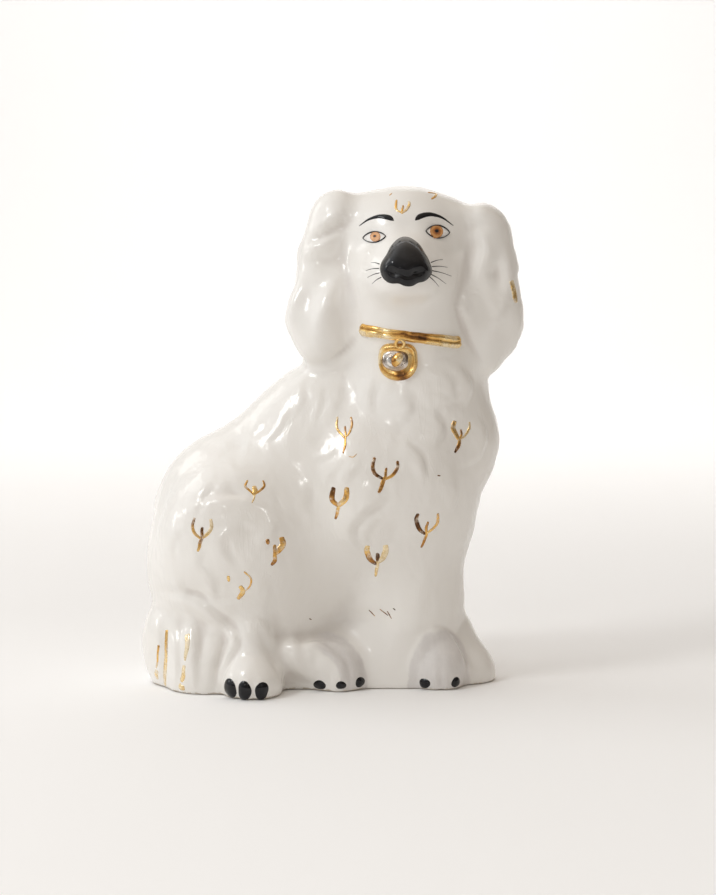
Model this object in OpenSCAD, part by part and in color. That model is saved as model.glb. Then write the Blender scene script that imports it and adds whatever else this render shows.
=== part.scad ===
// Seated mantel spaniel: a hollow slip-cast earthenware figurine with enamel and gilt decoration.
// Frame: millimetres, +Z up, -Y the display side that the face looks towards, +X the chest side.
// The origin is under the middle of the figurine, on the surface that it stands on.
// "Right" and "left" are the dog's own: its right flank is on the display side.

/* [Body] */
// Overall height of the figurine; every shape follows it
height = 140; // [90:1:330]
// Thickness of the cast wall
wall = 3.2; // [2.4:0.2:4]
// Slope of the neck seam and the collar, down towards the chest
neck_tilt = 6.5; // [0:0.5:12]

/* [Base] */
// Thickness of the slab that closes the base
plate_t = 3.6; // [3:0.2:6]
// Diameter of the vent hole for slip and kiln gases
vent_d = 10; // [6:1:14]

/* [Decoration] */
// Height that the enamel stands proud of the glaze
enamel_t = 0.3; // [0.2:0.05:0.5]
// Width of a gilt brush stroke on the coat
gilt_w = 1.2; // [0.8:0.1:1.6]
// Width of the collar band
collar_w = 3.4; // [2.6:0.2:4.4]
// Height that the collar stands proud of the neck
collar_t = 1.1; // [0.8:0.1:1.6]
// Diameter of the padlock that hangs from the collar
padlock_d = 10.8; // [9:0.2:13]

/* [Hidden] */

// The shapes below are written for a figurine 140 mm high that stands at x = home.x, y = home.y.
model_h = 140;
u = height / model_h;
home = [0.1, -2.07, 0];
skin = wall / u;
plate_h = plate_t / u;
gap = 0.03;
seam = [21, 0, 98.7];
vent_at = [-22, 2, 0];

// Colours
glaze = "ivory";
gold = "goldenrod";
black = [0.06, 0.06, 0.07];

// A lump is [centre, radii, lean]: an ellipsoid leant about Y, in degrees, its top towards +X.
TRUNK = [
  [[-25, 1, 33], [28, 24, 32], 0],       // rump
  [[-4, 2, 52], [31.5, 21, 40], 42],     // barrel, rising to the withers
  [[-22, 3, 52], [27.3, 19, 20.5], 0],   // loin
  [[19, -2, 57], [23, 20, 30], 0],       // chest
  [[23, 0, 84], [20.5, 18, 22], 0],      // neck
  [[16, 6, 92], [15, 13, 20], 0],        // mane on the nape
  [[-7.4, 2, 79], [9.6, 13, 17], 51],    // scruff, from the withers up to the right ear
  [[21, -1, 24], [16.5, 15, 44], 0],     // forelegs, cast as one column
  [[-4, 1, 3], [47, 17, 15], 0],         // foot of the casting
  [[-27, -13, 41], [20, 13, 22], 0],     // right haunch
  [[-22, 15, 36], [22, 12, 24], 0],      // left haunch
  [[37.5, -1, 69], [10, 11, 13], 0],     // ruff
  [[9, -14, 56], [12, 9, 17], 0]         // right shoulder
];
SKULL = [
  [[20.5, 1, 124], [17.5, 17, 15.5], 0],   // skull
  [[20.5, -7, 115], [15.5, 13, 14], 0],    // cheeks
  [[20, -16, 116], [11, 12.5, 9.5], 0],    // muzzle
  [[20, -23, 113], [7, 7, 5.5], 0],        // chin
  [[20.5, -4, 104], [16, 15, 13], 0],      // throat
  [[21.5, 2, 130.65], [14.3, 12, 8.5], 0], // crown
  [[9, 1, 130.5], [8, 9, 7.7], 0],         // join of the crown and the right ear
  [[34.5, 1, 128.4], [7.5, 9, 7.6], 0],    // join of the crown and the left ear
  [[20.8, 5, 112], [20.5, 11, 21], 0]      // hair behind the ears
];
RIGHT_EAR = [
  [[2.3, 0, 131], [8.6, 8.5, 8.8], 0],
  [[-1.8, -1.5, 118], [8, 7.5, 14], 3],
  [[-4, -4.5, 104], [9, 6.8, 11], 0],
  [[1, -6.5, 102], [6.5, 6, 10], 0],
  [[-3, -7, 95.5], [6, 5, 5.6], 0]
];
LEFT_EAR = [
  [[41, 0, 127.3], [9.3, 8.5, 8.8], 0],
  [[44, -1.5, 115], [8.6, 7.5, 14], 0],
  [[45, -2.5, 103.5], [9.2, 6.8, 12], 0],
  [[41, -4.5, 101], [6.5, 6, 10], 0],
  [[42.3, -5, 93], [5.2, 5, 6.2], 0]
];
TAIL = [
  [[-42, -4, 11], [12, 12, 17], 0],
  [[-35, -14, 5], [11, 9.3, 16], 0],
  [[-42, 5, 14], [11, 10, 14], 0]
];
RIGHT_HIND = [
  [[-21.7, -21.5, 4], [9, 9.8, 7.5], 0],
  [[-22, -17, 13], [8, 8, 13], 0]
];
LEFT_HIND = [
  [[-8, -14.5, 10.5], [11.5, 6.5, 6.5], 25],
  [[2, -13, 4], [7.8, 7, 9], 0]
];
RIGHT_FORE = [[[30, -9.5, 4.5], [8, 8.5, 10], 0]];
LEFT_FORE = [[[36.8, -1, 2], [10.2, 9, 10], 0], [[33, 1, 7], [8.8, 10, 15], 0]];
trunk_round = 2.2;
skull_round = 1.6;
trim_round = 1.3;
neck_round = 5;

// ---- Fields: the gap between a point and a surface, negative inside it ----

function lump_gap(p, lump) =
  let(d = p - lump[0], r = lump[1], c = cos(lump[2]), s = sin(lump[2]),
      n = [(d.x * c - d.z * s) / r.x, d.y / r.y, (d.x * s + d.z * c) / r.z], k = norm(n))
  k * (k - 1) / norm([n.x / r.x, n.y / r.y, n.z / r.z]);

// The union of several gaps, its creases filled to about k.
function blended(gaps, k) =
  let(low = min(gaps), w = [for (g = gaps) exp((low - g) / k)])
  low - k * ln(w * [for (g = gaps) 1]);

function lumps_gap(p, lumps, k) = blended([for (l = lumps) lump_gap(p, l)], k);

// The union of two gaps with a fillet of k where they are within k of each other.
function filleted(a, b, k) = let(h = max(k - abs(a - b), 0)) min(a, b) - h * h / k / 4;

function casting(p) =
  p.z > 112 ? lumps_gap(p, SKULL, skull_round)
  : p.z < 76 ? lumps_gap(p, TRUNK, trunk_round)
  : filleted(lumps_gap(p, TRUNK, trunk_round), lumps_gap(p, SKULL, skull_round), neck_round);

// Height of a point over the neck seam, which slopes by neck_tilt.
function over_seam(p) = (p.z - seam.z) * cos(neck_tilt) + (p.x - seam.x) * sin(neck_tilt);

function collar_gap(p) = max(casting(p) - collar_t - gap, abs(over_seam(p)) - collar_w / 2 - gap);

// ---- Lofts: rings of points on a field, joined into closed polyhedra ----

// How far along "way" from "from" the field first falls to nil, or the limit if it doesn't.
function march(field, from, way, limit, t = 0) =
  let(d = field(from + way * t))
  d < 0.01 || t > limit ? t : march(field, from, way, limit, t + max(d, 0.03));

// A ring of n points on a field, seen from c; rays rise at "rise" and lean down to +X by "tilt".
function ring(field, c, n, reach, rise = 0, tilt = 0) = [
  for (i = [0 : n - 1])
    let(a = 360 * i / n, x = cos(a) * cos(rise), z = sin(rise),
        way = [x * cos(tilt) + z * sin(tilt), sin(a) * cos(rise), z * cos(tilt) - x * sin(tilt)],
        t = march(field, c + way * reach, -way, reach - 0.8))
    c + way * max(reach - t, 0.8)
];

function flat(lists) = [for (l = lists) each l];

// Triangles between ring i and ring j of n points each.
function strip(i, j, n) = [
  for (k = [0 : n - 1])
    let(l = (k + 1) % n, a = i * n + k, b = i * n + l, c = j * n + l, d = j * n + k)
    each [[a, c, b], [a, d, c]]
];

// A closed ring of rings, such as an open shell with its wall.
module looped_loft(rings) {
  n = len(rings[0]);
  m = len(rings);
  polyhedron(flat(rings), flat([for (i = [0 : m - 1]) strip(i, (i + 1) % m, n)]));
}

// Rings from a first pole to a last one, such as a solid or a bowl with its wall.
module capped_loft(first, rings, last) {
  n = len(rings[0]);
  m = len(rings);
  lowest = m * n;
  caps = [
    for (k = [0 : n - 1])
      let(l = (k + 1) % n)
      each [[lowest, k, l], [(m - 1) * n + k, lowest + 1, (m - 1) * n + l]]
  ];
  walls = flat([for (i = [0 : m - 2]) strip(i, i + 1, n)]);
  polyhedron(concat(flat(rings), [first, last]), concat(walls, caps));
}

module placed() {
  scale(u)
    translate(-home)
      children();
}

// A distance from the middle plane that is outside the figurine.
far = 70;

// A point of the field's surface that faces the display side.
function facing(field, x, z) = [x, march(field, [x, -far, z], [0, 1, 0], far) - far, z];

// ---- The hollow casting ----

hub = [-6, 0, 0];
function spine(t) = [hub.x + (seam.x - hub.x) * t * t, 0, plate_h + (seam.z - plate_h) * t];

function trunk_rings(field, count, n) = [
  for (i = [0 : count])
    let(t = i / count)
    ring(field, spine(t), n, 70, 0, neck_tilt * t * t)
];

module body_shell() {
  n = 64;
  outer_rings = 30;
  inner_rings = 10;
  outer = trunk_rings(function (p) casting(p), outer_rings, n);
  inner = trunk_rings(function (p) casting(p) + skin, inner_rings, n);
  placed()
    color(glaze)
      looped_loft(concat(outer, [for (i = [inner_rings : -1 : 0]) inner[i]]));
}

// The slab that closes the casting, with its vent hole
module base_plate() {
  outline = ring(function (p) casting(p), hub + [0, 0, plate_h / 2], 72, 70);
  placed()
    color(glaze)
      difference() {
        linear_extrude(plate_h - gap) polygon([for (p = outline) [p.x, p.y]]);
        translate([vent_at.x, vent_at.y, -1]) cylinder(h = plate_h + 2, d = vent_d / u, $fn = 48);
      }
}

// Rings up the neck, then over the crown like lines of latitude
crown = [seam.x, -3, 121];
function head_rings(field, up, over, n) = [
  for (i = [0 : up])
    let(t = i / up)
    ring(field, [seam.x, crown.y * t, seam.z + gap + (crown.z - seam.z) * t], n, 60, 0,
         neck_tilt * (1 - t) * (1 - t)),
  for (i = [1 : over]) ring(field, crown, n, 60, 88 * i / over)
];
function crown_point(field) = crown + [0, 0, 60 - march(field, crown + [0, 0, 60], [0, 0, -1], 60)];

module head_shell() {
  n = 60;
  outer_field = function (p) casting(p);
  inner_field = function (p) casting(p) + skin;
  outer = head_rings(outer_field, 15, 9, n);
  inner = head_rings(inner_field, 5, 4, n);
  placed()
    color(glaze)
      capped_loft(crown_point(inner_field),
                  concat([for (i = [len(inner) - 1 : -1 : 0]) inner[i]], outer),
                  crown_point(outer_field));
}

// ---- Solids that are cast on: ears, tail and feet ----

// A solid wound about a line from low to high, with a dome of rays at each end
module wound(field, low, high, n = 32, sides = 8, dome = 5, reach = 26) {
  rings = [
    for (i = [1 : dome]) ring(field, low, n, reach, -84 + 84 * (i - 1) / dome),
    for (i = [0 : sides]) ring(field, low + (high - low) * i / sides, n, reach),
    for (i = [1 : dome]) ring(field, high, n, reach, 84 * i / dome)
  ];
  down = march(field, low - [0, 0, reach], [0, 0, 1], reach);
  up = march(field, high + [0, 0, reach], [0, 0, -1], reach);
  capped_loft(low - [0, 0, reach - down], rings, high + [0, 0, reach - up]);
}

function ear_gap(p, lumps) =
  max(lumps_gap(p, lumps, trim_round), gap - casting(p), gap - collar_gap(p));

module right_ear() {
  placed()
    color(glaze)
      wound(function (p) ear_gap(p, RIGHT_EAR), [-4, -7.5, 98], [-2, -2, 127]);
}

module left_ear() {
  placed()
    color(glaze)
      wound(function (p) ear_gap(p, LEFT_EAR), [44, -5, 96], [44.5, -1, 124]);
}

// A relief between its lumps' own front and the ground behind them, from z = 0 up.
// It is looked at from one side: view is 0 for the display side and grows towards the chest.
// foot and lean give the upright line that its rows are centred on.
thin = 0.35;
module relief(lumps, ground, view, foot, lean = 0, n = 14, rows = 16, reach = 30) {
  right = [cos(view), sin(view), 0];
  into = [-sin(view), cos(view), 0];
  own = function (p) lumps_gap(p, lumps, trim_round);
  function at(q, depth) = right * q[0] + into * depth + [0, 0, q[1]];
  function span(q) =
    let(low = march(own, at(q, -far), into, 2 * far), high = march(own, at(q, far), -into, 2 * far),
        base = march(ground, at(q, -far), into, 2 * far))
    [low - far, min(far - high, base - far - gap)];
  // How far from c along one way the relief stays thicker than "thin"
  function edge(c, way, low, high, steps = 9) =
    let(r = (low + high) / 2, s = span(c + way * r))
    steps == 0 ? low
    : s[1] - s[0] > thin ? edge(c, way, r, high, steps - 1)
    : edge(c, way, low, r, steps - 1);
  up = [lean, 1];
  top = edge([foot, 0], up, 0.5, reach);
  sections = [
    for (i = [0 : rows])
      let(c = [foot, 0] + up * top * sin(88 * i / rows),
          left = edge(c, [-1, 0], 0.01, reach), right = edge(c, [1, 0], 0.01, reach),
          spans = [for (j = [0 : n]) let(q = c + [(right - left - (right + left) * cos(180 * j / n)) / 2, 0])
                   [q, span(q)]])
      [for (v = spans) at(v[0], v[1][0]), for (j = [n : -1 : 0]) at(spans[j][0], spans[j][1][1])]
  ];
  function middle(q) = let(s = span(q)) at(q, (s[0] + s[1]) / 2);
  placed()
    color(glaze)
      capped_loft(middle([foot, 0]), sections, middle([foot, 0] + up * top));
}

module tail() {
  relief(TAIL, function (p) casting(p), -45, -24, n = 20);
}

module right_hind_paw() {
  relief(RIGHT_HIND, function (p) min(casting(p), lumps_gap(p, TAIL, trim_round)), 0, -22);
}

module left_hind_paw() {
  relief(LEFT_HIND, function (p) min(casting(p), lumps_gap(p, RIGHT_HIND, trim_round)), 0, 3, -0.25);
}

module right_forepaw() {
  relief(RIGHT_FORE, function (p) casting(p), 0, 30);
}

module left_forepaw() {
  relief(LEFT_FORE, function (p) min(casting(p), lumps_gap(p, RIGHT_FORE, trim_round)), 80, 9);
}

// ---- Collar and padlock ----

module collar() {
  n = 72;
  // Each corner is [height across the band, height proud of the neck], as parts of the whole.
  section = [[-0.5, 0], [-0.42, 0.7], [0, 1], [0.42, 0.7], [0.5, 0], [0, 0]];
  rings = [
    for (corner = section)
      let(proud = gap + corner[1] * collar_t, rise = corner[0] * collar_w)
      ring(function (p) casting(p) - proud, seam + [0, 0, rise], n, 60, 0, neck_tilt)
  ];
  placed()
    color(gold)
      looped_loft(rings);
}

// A slab on the display side of "ground", over an outline about c, an [x, z] place.
// It stands between the heights low and high(f), f being 0 at c and 1 at the outline.
module patch(ground, c, outline, low, high, n = 28, levels = 3) {
  fractions = [for (i = [1 : levels]) sin(90 * i / levels)];
  function place(a, f, h) =
    let(r = outline(a) * f) facing(ground, c[0] + r * cos(a), c[1] + r * sin(a)) - [0, h, 0];
  function loop(f, h) = [for (i = [0 : n - 1]) place(360 * i / n, f, h)];
  under = [for (f = fractions) loop(f, low)];
  over = [for (k = [levels - 1 : -1 : 0]) loop(fractions[k], high(fractions[k]))];
  capped_loft(place(0, 0, low), concat(under, over), place(0, 0, high(0)));
}

function oval(rx, rz, lean = 0) = function (a) rx * rz / norm([rz * cos(a - lean), rx * sin(a - lean)]);

lock = [18.3, 91.6];
lock_t = 1.7;
lock_plate_t = 0.5;
bow = [18.8, 97.2];

module padlock_body() {
  scallops = 9;
  outline = function (a) padlock_d / 2 * (1 + 0.045 * cos(scallops * a));
  placed()
    color(gold)
      patch(function (p) casting(p), lock, outline, gap, function (f) f < 1 ? lock_t : lock_t * 0.6, 72);
}

module padlock_plate() {
  placed()
    color("silver")
      patch(function (p) casting(p), lock, oval(padlock_d * 0.36, padlock_d * 0.29, 12),
            lock_t + gap, function (f) lock_t + lock_plate_t * (1.6 - f), 32);
}

module keyhole_bead() {
  low = lock_t + lock_plate_t * 1.6 + gap;
  placed()
    color(gold)
      patch(function (p) casting(p), lock + [0.3, 0.1], oval(padlock_d * 0.1, padlock_d * 0.17, -20),
            low, function (f) low + 1.1 - 0.7 * f * f, 24);
}

// The bow that the padlock hangs by, a small ring in front of the collar
module padlock_ring() {
  wire = 0.55;
  radius = 1.5;
  at = facing(function (p) casting(p), bow[0], bow[1]);
  placed()
    color(gold)
      translate([at.x, at.y - collar_t - wire - 2 * gap, at.z])
        rotate([80, 0, 0])
          rotate_extrude($fn = 48)
            translate([radius, 0])
              circle(d = 2 * wire, $fn = 16);
}

// ---- Enamel on the face ----

muzzle = [20, 118.6];

// A blunt triangle, point up
function nose_outline() =
  function (a) 6.7 + 0.3 * cos(2 * a) - 0.8 * sin(3 * a);

module nose() {
  placed()
    color(black)
      patch(function (p) casting(p), muzzle, nose_outline(), gap, function (f) 1.5 - 1.1 * f * f, 48);
}

// Each eye is [x, z, half width, half height, lean, x of its iris]
EYES = [
  [11.8, 126.2, 3.3, 1.9, 3, 12.3],
  [29.2, 127.7, 3.4, 2, 4, 28.7]
];
iris_r = 1.5;
pupil_r = 0.75;

module eye_whites() {
  for (e = EYES)
    placed()
      color("white")
        patch(function (p) casting(p), [e[0], e[1]], oval(e[2], e[3], e[4]),
              gap, function (f) 0.75 - 0.4 * f * f);
}

module irises() {
  for (e = EYES)
    placed()
      color("darkorange")
        patch(function (p) casting(p), [e[5], e[1]], oval(iris_r, iris_r),
              0.8, function (f) 1.1 - 0.15 * f * f, 24, levels = 2);
}

module pupils() {
  for (e = EYES)
    placed()
      color(black)
        patch(function (p) casting(p), [e[5], e[1]], oval(pupil_r, pupil_r),
              1.15, function (f) 1.4 - 0.12 * f * f, 20, levels = 2);
}

// A brush stroke over the route's [x, z] points, on the display side of "ground".
// width(t) gives its width at t, from 0 at its start to 1 at its end.
module stroke(ground, route, width, proud = enamel_t, shut = false) {
  last = len(route) - 1;
  function tangent(i) =
    let(a = shut ? route[(i + last - 1) % last] : route[max(i - 1, 0)],
        b = shut ? route[(i + 1) % last] : route[min(i + 1, last)], d = b - a)
    d / norm(d);
  function place(q, h) = facing(ground, q[0], q[1]) - [0, h, 0];
  stations = [for (i = [0 : shut ? last - 1 : last]) i];
  sections = [
    for (i = stations)
      let(q = route[i], d = tangent(i), side = [-d[1], d[0]] * width(i / last) / 2)
      [place(q - side, gap), place(q, gap), place(q + side, gap), place(q, proud)]
  ];
  if (shut)
    looped_loft(sections);
  else
    capped_loft(place(route[0] - tangent(0) * 0.1, proud / 2),
                sections,
                place(route[last] + tangent(last) * 0.1, proud / 2));
}

module eye_outlines() {
  line_w = 0.45;
  n = 24;
  for (e = EYES) {
    reach = oval(e[2] + line_w / 2, e[3] + line_w / 2, e[4]);
    ring_route = [for (i = [0 : n]) let(a = 360 * i / n) [e[0], e[1]] + reach(a) * [cos(a), sin(a)]];
    placed()
      color(black)
        stroke(function (p) casting(p), ring_route, function (t) line_w * 0.9, 0.5, shut = true);
  }
}

// An arc from a to b that bulges up by "rise", in n steps
function bow_route(a, b, rise, n = 8) = [
  for (i = [0 : n]) let(t = i / n) a + (b - a) * t + [0, rise * sin(180 * t)]
];

module brows() {
  // Each brow is [outer end, inner end, rise]
  ends = [[[7.6, 129.4], [17.1, 131], 2.1], [[33.7, 129.9], [23, 131.1], 2.3]];
  for (b = ends)
    placed()
      color(black)
        stroke(function (p) casting(p), bow_route(b[0], b[1], b[2], 10),
               function (t) 0.4 + 1.4 * sin(150 * t));
}

module whiskers() {
  // Each whisker is [end at the nose, tip]
  hairs = [
    [[13, 118.2], [11.2, 118.4]], [[12.9, 117], [9.6, 116.4]],
    [[13, 115.8], [10.2, 114.7]], [[13.4, 114.6], [11.3, 113.2]],
    [[27.1, 118.6], [30.5, 119.4]], [[27.3, 117.4], [31.4, 117.5]],
    [[27.2, 116.2], [32.8, 115]], [[27, 115.3], [31.2, 113.3]], [[26.6, 114.6], [29.2, 112.5]]
  ];
  for (hair = hairs)
    placed()
      color(black)
        stroke(function (p) casting(p), bow_route(hair[0], hair[1], 0.15, 3),
               function (t) 0.42 - 0.22 * t, 0.25);
}

// ---- Enamel and gilt on the coat ----

function feet_ground(p) =
  min(casting(p), lumps_gap(p, RIGHT_HIND, trim_round), lumps_gap(p, LEFT_HIND, trim_round),
      lumps_gap(p, RIGHT_FORE, trim_round));

module claws() {
  // Each claw is [x, z, half width, half height]
  nails = [
    [-27.4, 2.7, 1.6, 2.4], [-23.6, 2.9, 1.7, 2.5], [-18.9, 2.7, 1.7, 2.4],
    [-3.4, 2, 1.7, 1.4], [2.6, 2.2, 1.5, 1.2], [7.8, 2.4, 1.3, 1.4],
    [25.9, 2, 1.5, 1.5], [34.4, 2.1, 1.2, 1.5]
  ];
  for (c = nails)
    placed()
      color(black)
        patch(function (p) feet_ground(p), [c[0], c[1]], oval(c[2], c[3]),
              gap, function (f) 0.8 - 0.5 * f * f, 18, levels = 2);
}

// A tuft of hair in three brush strokes: a cup, a hair in the middle and a stem below
module tuft(ground, c, size = 1, lean = 0) {
  cup_w = 4.4 * size;
  cup_h = 3.6 * size;
  way = [[cos(lean), -sin(lean)], [sin(lean), cos(lean)]];
  cup = [for (i = [0 : 8]) let(a = 180 + 22.5 * i) c + way * [cup_w / 2 * cos(a), cup_h * (0.5 + sin(a))]];
  stem = [for (i = [0 : 4]) let(t = i / 4) c + way * [0.5 * sin(120 * t), cup_h * (0.3 - 1.25 * t)]];
  stroke(ground, cup, function (t) gilt_w * (0.35 + 0.65 * sin(180 * t)));
  stroke(ground, stem, function (t) gilt_w * (0.4 + 0.4 * sin(180 * t)), enamel_t * 1.3);
}

module coat_marks() {
  // Each mark is [x, z, size, lean]
  marks = [
    [3.8, 71.5, 1, 0], [35.6, 71.2, 1.1, -8], [15, 61, 1.2, -6], [2.1, 53.4, 1, 0],
    [26.3, 45.6, 1.3, -8], [12.3, 37.8, 1.1, -4], [-21.2, 57, 0.9, 0],
    [-35.2, 45.2, 1, 5], [-14.6, 40.8, 1.1, -10], [-25, 31.5, 1, -6]
  ];
  for (m = marks)
    placed()
      color(gold)
        tuft(function (p) casting(p), [m[0], m[1]], m[2], m[3]);
}

module head_marks() {
  marks = [[20.5, 134.6, 0.8, 0], [27, 135.6, 0.45, 20], [16, 136, 0.4, 0]];
  for (m = marks)
    placed()
      color(gold)
        tuft(function (p) casting(p), [m[0], m[1]], m[2], m[3]);
}

module tail_streaks() {
  // Each streak is [x, foot, top, width]
  streaks = [[-46.2, 3.4, 16.5, 1.3], [-40.6, 1.4, 17.5, 1.1], [-49.3, 3, 12, 0.9]];
  for (s = streaks)
    placed()
      color(gold)
        stroke(function (p) min(casting(p), lumps_gap(p, TAIL, trim_round)),
               [for (i = [0 : 8]) [s[0] + 0.5 * sin(40 * i), s[1] + (s[2] - s[1]) * i / 8]],
               function (t) s[3] * (1.2 - 0.9 * t));
}

body_shell();
base_plate();
head_shell();
right_ear();
left_ear();
tail();
right_hind_paw();
left_hind_paw();
right_forepaw();
left_forepaw();
collar();
padlock_ring();
padlock_body();
padlock_plate();
keyhole_bead();
nose();
eye_whites();
irises();
pupils();
eye_outlines();
brows();
whiskers();
claws();
coat_marks();
head_marks();
tail_streaks();
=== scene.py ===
"""Seated mantel spaniel in white glazed earthenware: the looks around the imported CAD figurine.

The CAD's cast nodes are turned into one soft skin, as glaze softens a casting. The skin is modelled
with the coat's relief, parted again into the CAD's pieces, and painted with enamel and gilt.
Lengths inside the script are millimetres in the row frame; meshes are made in metres.
"""
import math

import bmesh
import bpy
import numpy as np
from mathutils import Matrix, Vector, noise
from mathutils.bvhtree import BVHTree


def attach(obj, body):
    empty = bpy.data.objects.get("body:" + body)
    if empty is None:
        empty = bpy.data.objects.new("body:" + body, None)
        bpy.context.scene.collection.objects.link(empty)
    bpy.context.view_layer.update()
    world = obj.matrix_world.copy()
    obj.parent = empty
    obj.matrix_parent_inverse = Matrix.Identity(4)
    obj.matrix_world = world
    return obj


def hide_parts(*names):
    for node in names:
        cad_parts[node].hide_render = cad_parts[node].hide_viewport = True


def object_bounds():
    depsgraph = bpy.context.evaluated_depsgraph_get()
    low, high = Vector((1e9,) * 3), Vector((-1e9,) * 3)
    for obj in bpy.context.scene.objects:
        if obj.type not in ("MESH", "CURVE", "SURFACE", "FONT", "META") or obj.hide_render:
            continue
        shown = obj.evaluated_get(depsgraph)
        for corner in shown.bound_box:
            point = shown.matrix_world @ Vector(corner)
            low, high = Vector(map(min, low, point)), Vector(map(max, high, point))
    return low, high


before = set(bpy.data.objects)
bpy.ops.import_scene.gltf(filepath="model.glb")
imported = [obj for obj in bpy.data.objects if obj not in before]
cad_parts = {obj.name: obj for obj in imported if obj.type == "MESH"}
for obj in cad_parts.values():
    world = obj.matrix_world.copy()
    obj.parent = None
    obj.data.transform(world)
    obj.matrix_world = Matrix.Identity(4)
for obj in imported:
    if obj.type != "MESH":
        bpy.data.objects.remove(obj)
cad_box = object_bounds()

MM = 0.001
TAU = 2 * math.pi
BOX_LOW, BOX_HIGH = np.array(cad_box) / MM
CAST = ["body_shell", "head_shell", "right_ear", "left_ear", "tail",
        "right_hind_paw", "left_hind_paw", "right_forepaw", "left_forepaw", "base_plate"]
CELL = 0.72          # size of a cell of the skin's grid
MARGIN = 8           # empty cells round the figurine
SOFTEN = 1.15        # how far the glaze rounds the casting's edges
FILL = 3.4           # how broadly the glaze and clay fill the creases beside the ears
FILL_KEEP = 0.45     # how far a crease stays under the broad fill
FILL_KEEP_COAT = 0.8  # how much further it stays under it below the head
SHELL = 1.6          # thickness of the skin's shells
VENT_AT = np.array([-22.1, 4.07])  # the vent hole under the figurine
VENT_R = 5.0
VENT_DEPTH = 3.6
FAR_FRONT = -90      # a y well in front of the figurine
UNFIRED = 0.7        # the gilt's tone where none is given

rng = np.random.default_rng(7)
noise.seed_set(7)   # it would be seeded from the clock


def rising(value, start, width):
    """0 up to a start, then rising to 1 over a width; below nil, the width runs the other way."""
    return np.clip((value - start) / width, 0, 1)


def hump(value, centre, spread):
    """A smooth hump, 1 at its centre."""
    return np.exp(-((value - centre) / spread) ** 2)


def dots(vectors, others):
    """The dot products of two lists of vectors, or of a list and one vector."""
    return (vectors * others).sum(axis=-1)


def lengths(vectors):
    """The length of each of a list of vectors."""
    return np.linalg.norm(vectors, axis=1)


# ---- The skin: the cast nodes as one solid on a grid ----

def node_triangles(node):
    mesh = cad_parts[node].data
    mesh.calc_loop_triangles()
    corners = np.empty(len(mesh.vertices) * 3)
    mesh.vertices.foreach_get("co", corners)
    picks = np.empty(len(mesh.loop_triangles) * 3, int)
    mesh.loop_triangles.foreach_get("vertices", picks)
    return corners.reshape(-1, 3)[picks.reshape(-1, 3)] / MM


def add_solid(cover, triangles, origin):
    """Adds how much of each cell a closed solid covers, by its crossings with the cells' columns."""
    nx, ny, nz = cover.shape
    steps = np.zeros((nx, ny, nz + 1))
    parts = np.zeros((nx, ny, nz + 1))
    for a, b, c in (triangles - origin) / CELL - 0.5:
        twice = (b[0] - a[0]) * (c[1] - a[1]) - (c[0] - a[0]) * (b[1] - a[1])
        if abs(twice) < 1e-9:
            continue
        low = np.ceil(np.minimum(np.minimum(a, b), c)[:2]).astype(int)
        high = np.floor(np.maximum(np.maximum(a, b), c)[:2]).astype(int)
        if (high < low).any():
            continue
        x, y = np.meshgrid(np.arange(low[0], high[0] + 1), np.arange(low[1], high[1] + 1), indexing="ij")
        x = x.ravel()
        y = y.ravel()
        u = ((x - a[0]) * (c[1] - a[1]) - (c[0] - a[0]) * (y - a[1])) / twice
        v = ((b[0] - a[0]) * (y - a[1]) - (x - a[0]) * (b[1] - a[1])) / twice
        inside = (u >= 0) & (v >= 0) & (u + v < 1)
        x, y, u, v = x[inside], y[inside], u[inside], v[inside]
        z = a[2] + u * (b[2] - a[2]) + v * (c[2] - a[2]) + 0.5
        k = np.clip(np.floor(z).astype(int), 0, nz - 1)
        sign = np.sign(twice)
        np.add.at(steps, (x, y, k), sign)
        np.add.at(parts, (x, y, k), sign * (z - k))
    below = np.cumsum(steps[:, :, ::-1], axis=2)[:, :, ::-1]
    cover += np.clip(below[:, :, 1:] + parts[:, :, :-1], 0, 1)


def shut_in(solid):
    """Cells with solid cells on all four sides and above, such as the casting's hollow."""
    def seen(axis, way):
        flipped = np.flip(solid, axis) if way < 0 else solid
        found = np.maximum.accumulate(flipped, axis=axis)
        return np.flip(found, axis) if way < 0 else found
    return seen(0, 1) & seen(0, -1) & seen(1, 1) & seen(1, -1) & seen(2, -1)


def blurred(grid, sigma):
    reach = int(math.ceil(3 * sigma))
    taps = np.exp(-0.5 * (np.arange(-reach, reach + 1) / sigma) ** 2)
    taps /= taps.sum()
    for axis in range(3):
        pad = [(reach, reach) if a == axis else (0, 0) for a in range(3)]
        wide = np.pad(grid, pad, mode="edge")
        n = grid.shape[axis]
        grid = sum(t * np.take(wide, range(i, i + n), axis=axis) for i, t in enumerate(taps))
    return grid


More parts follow.
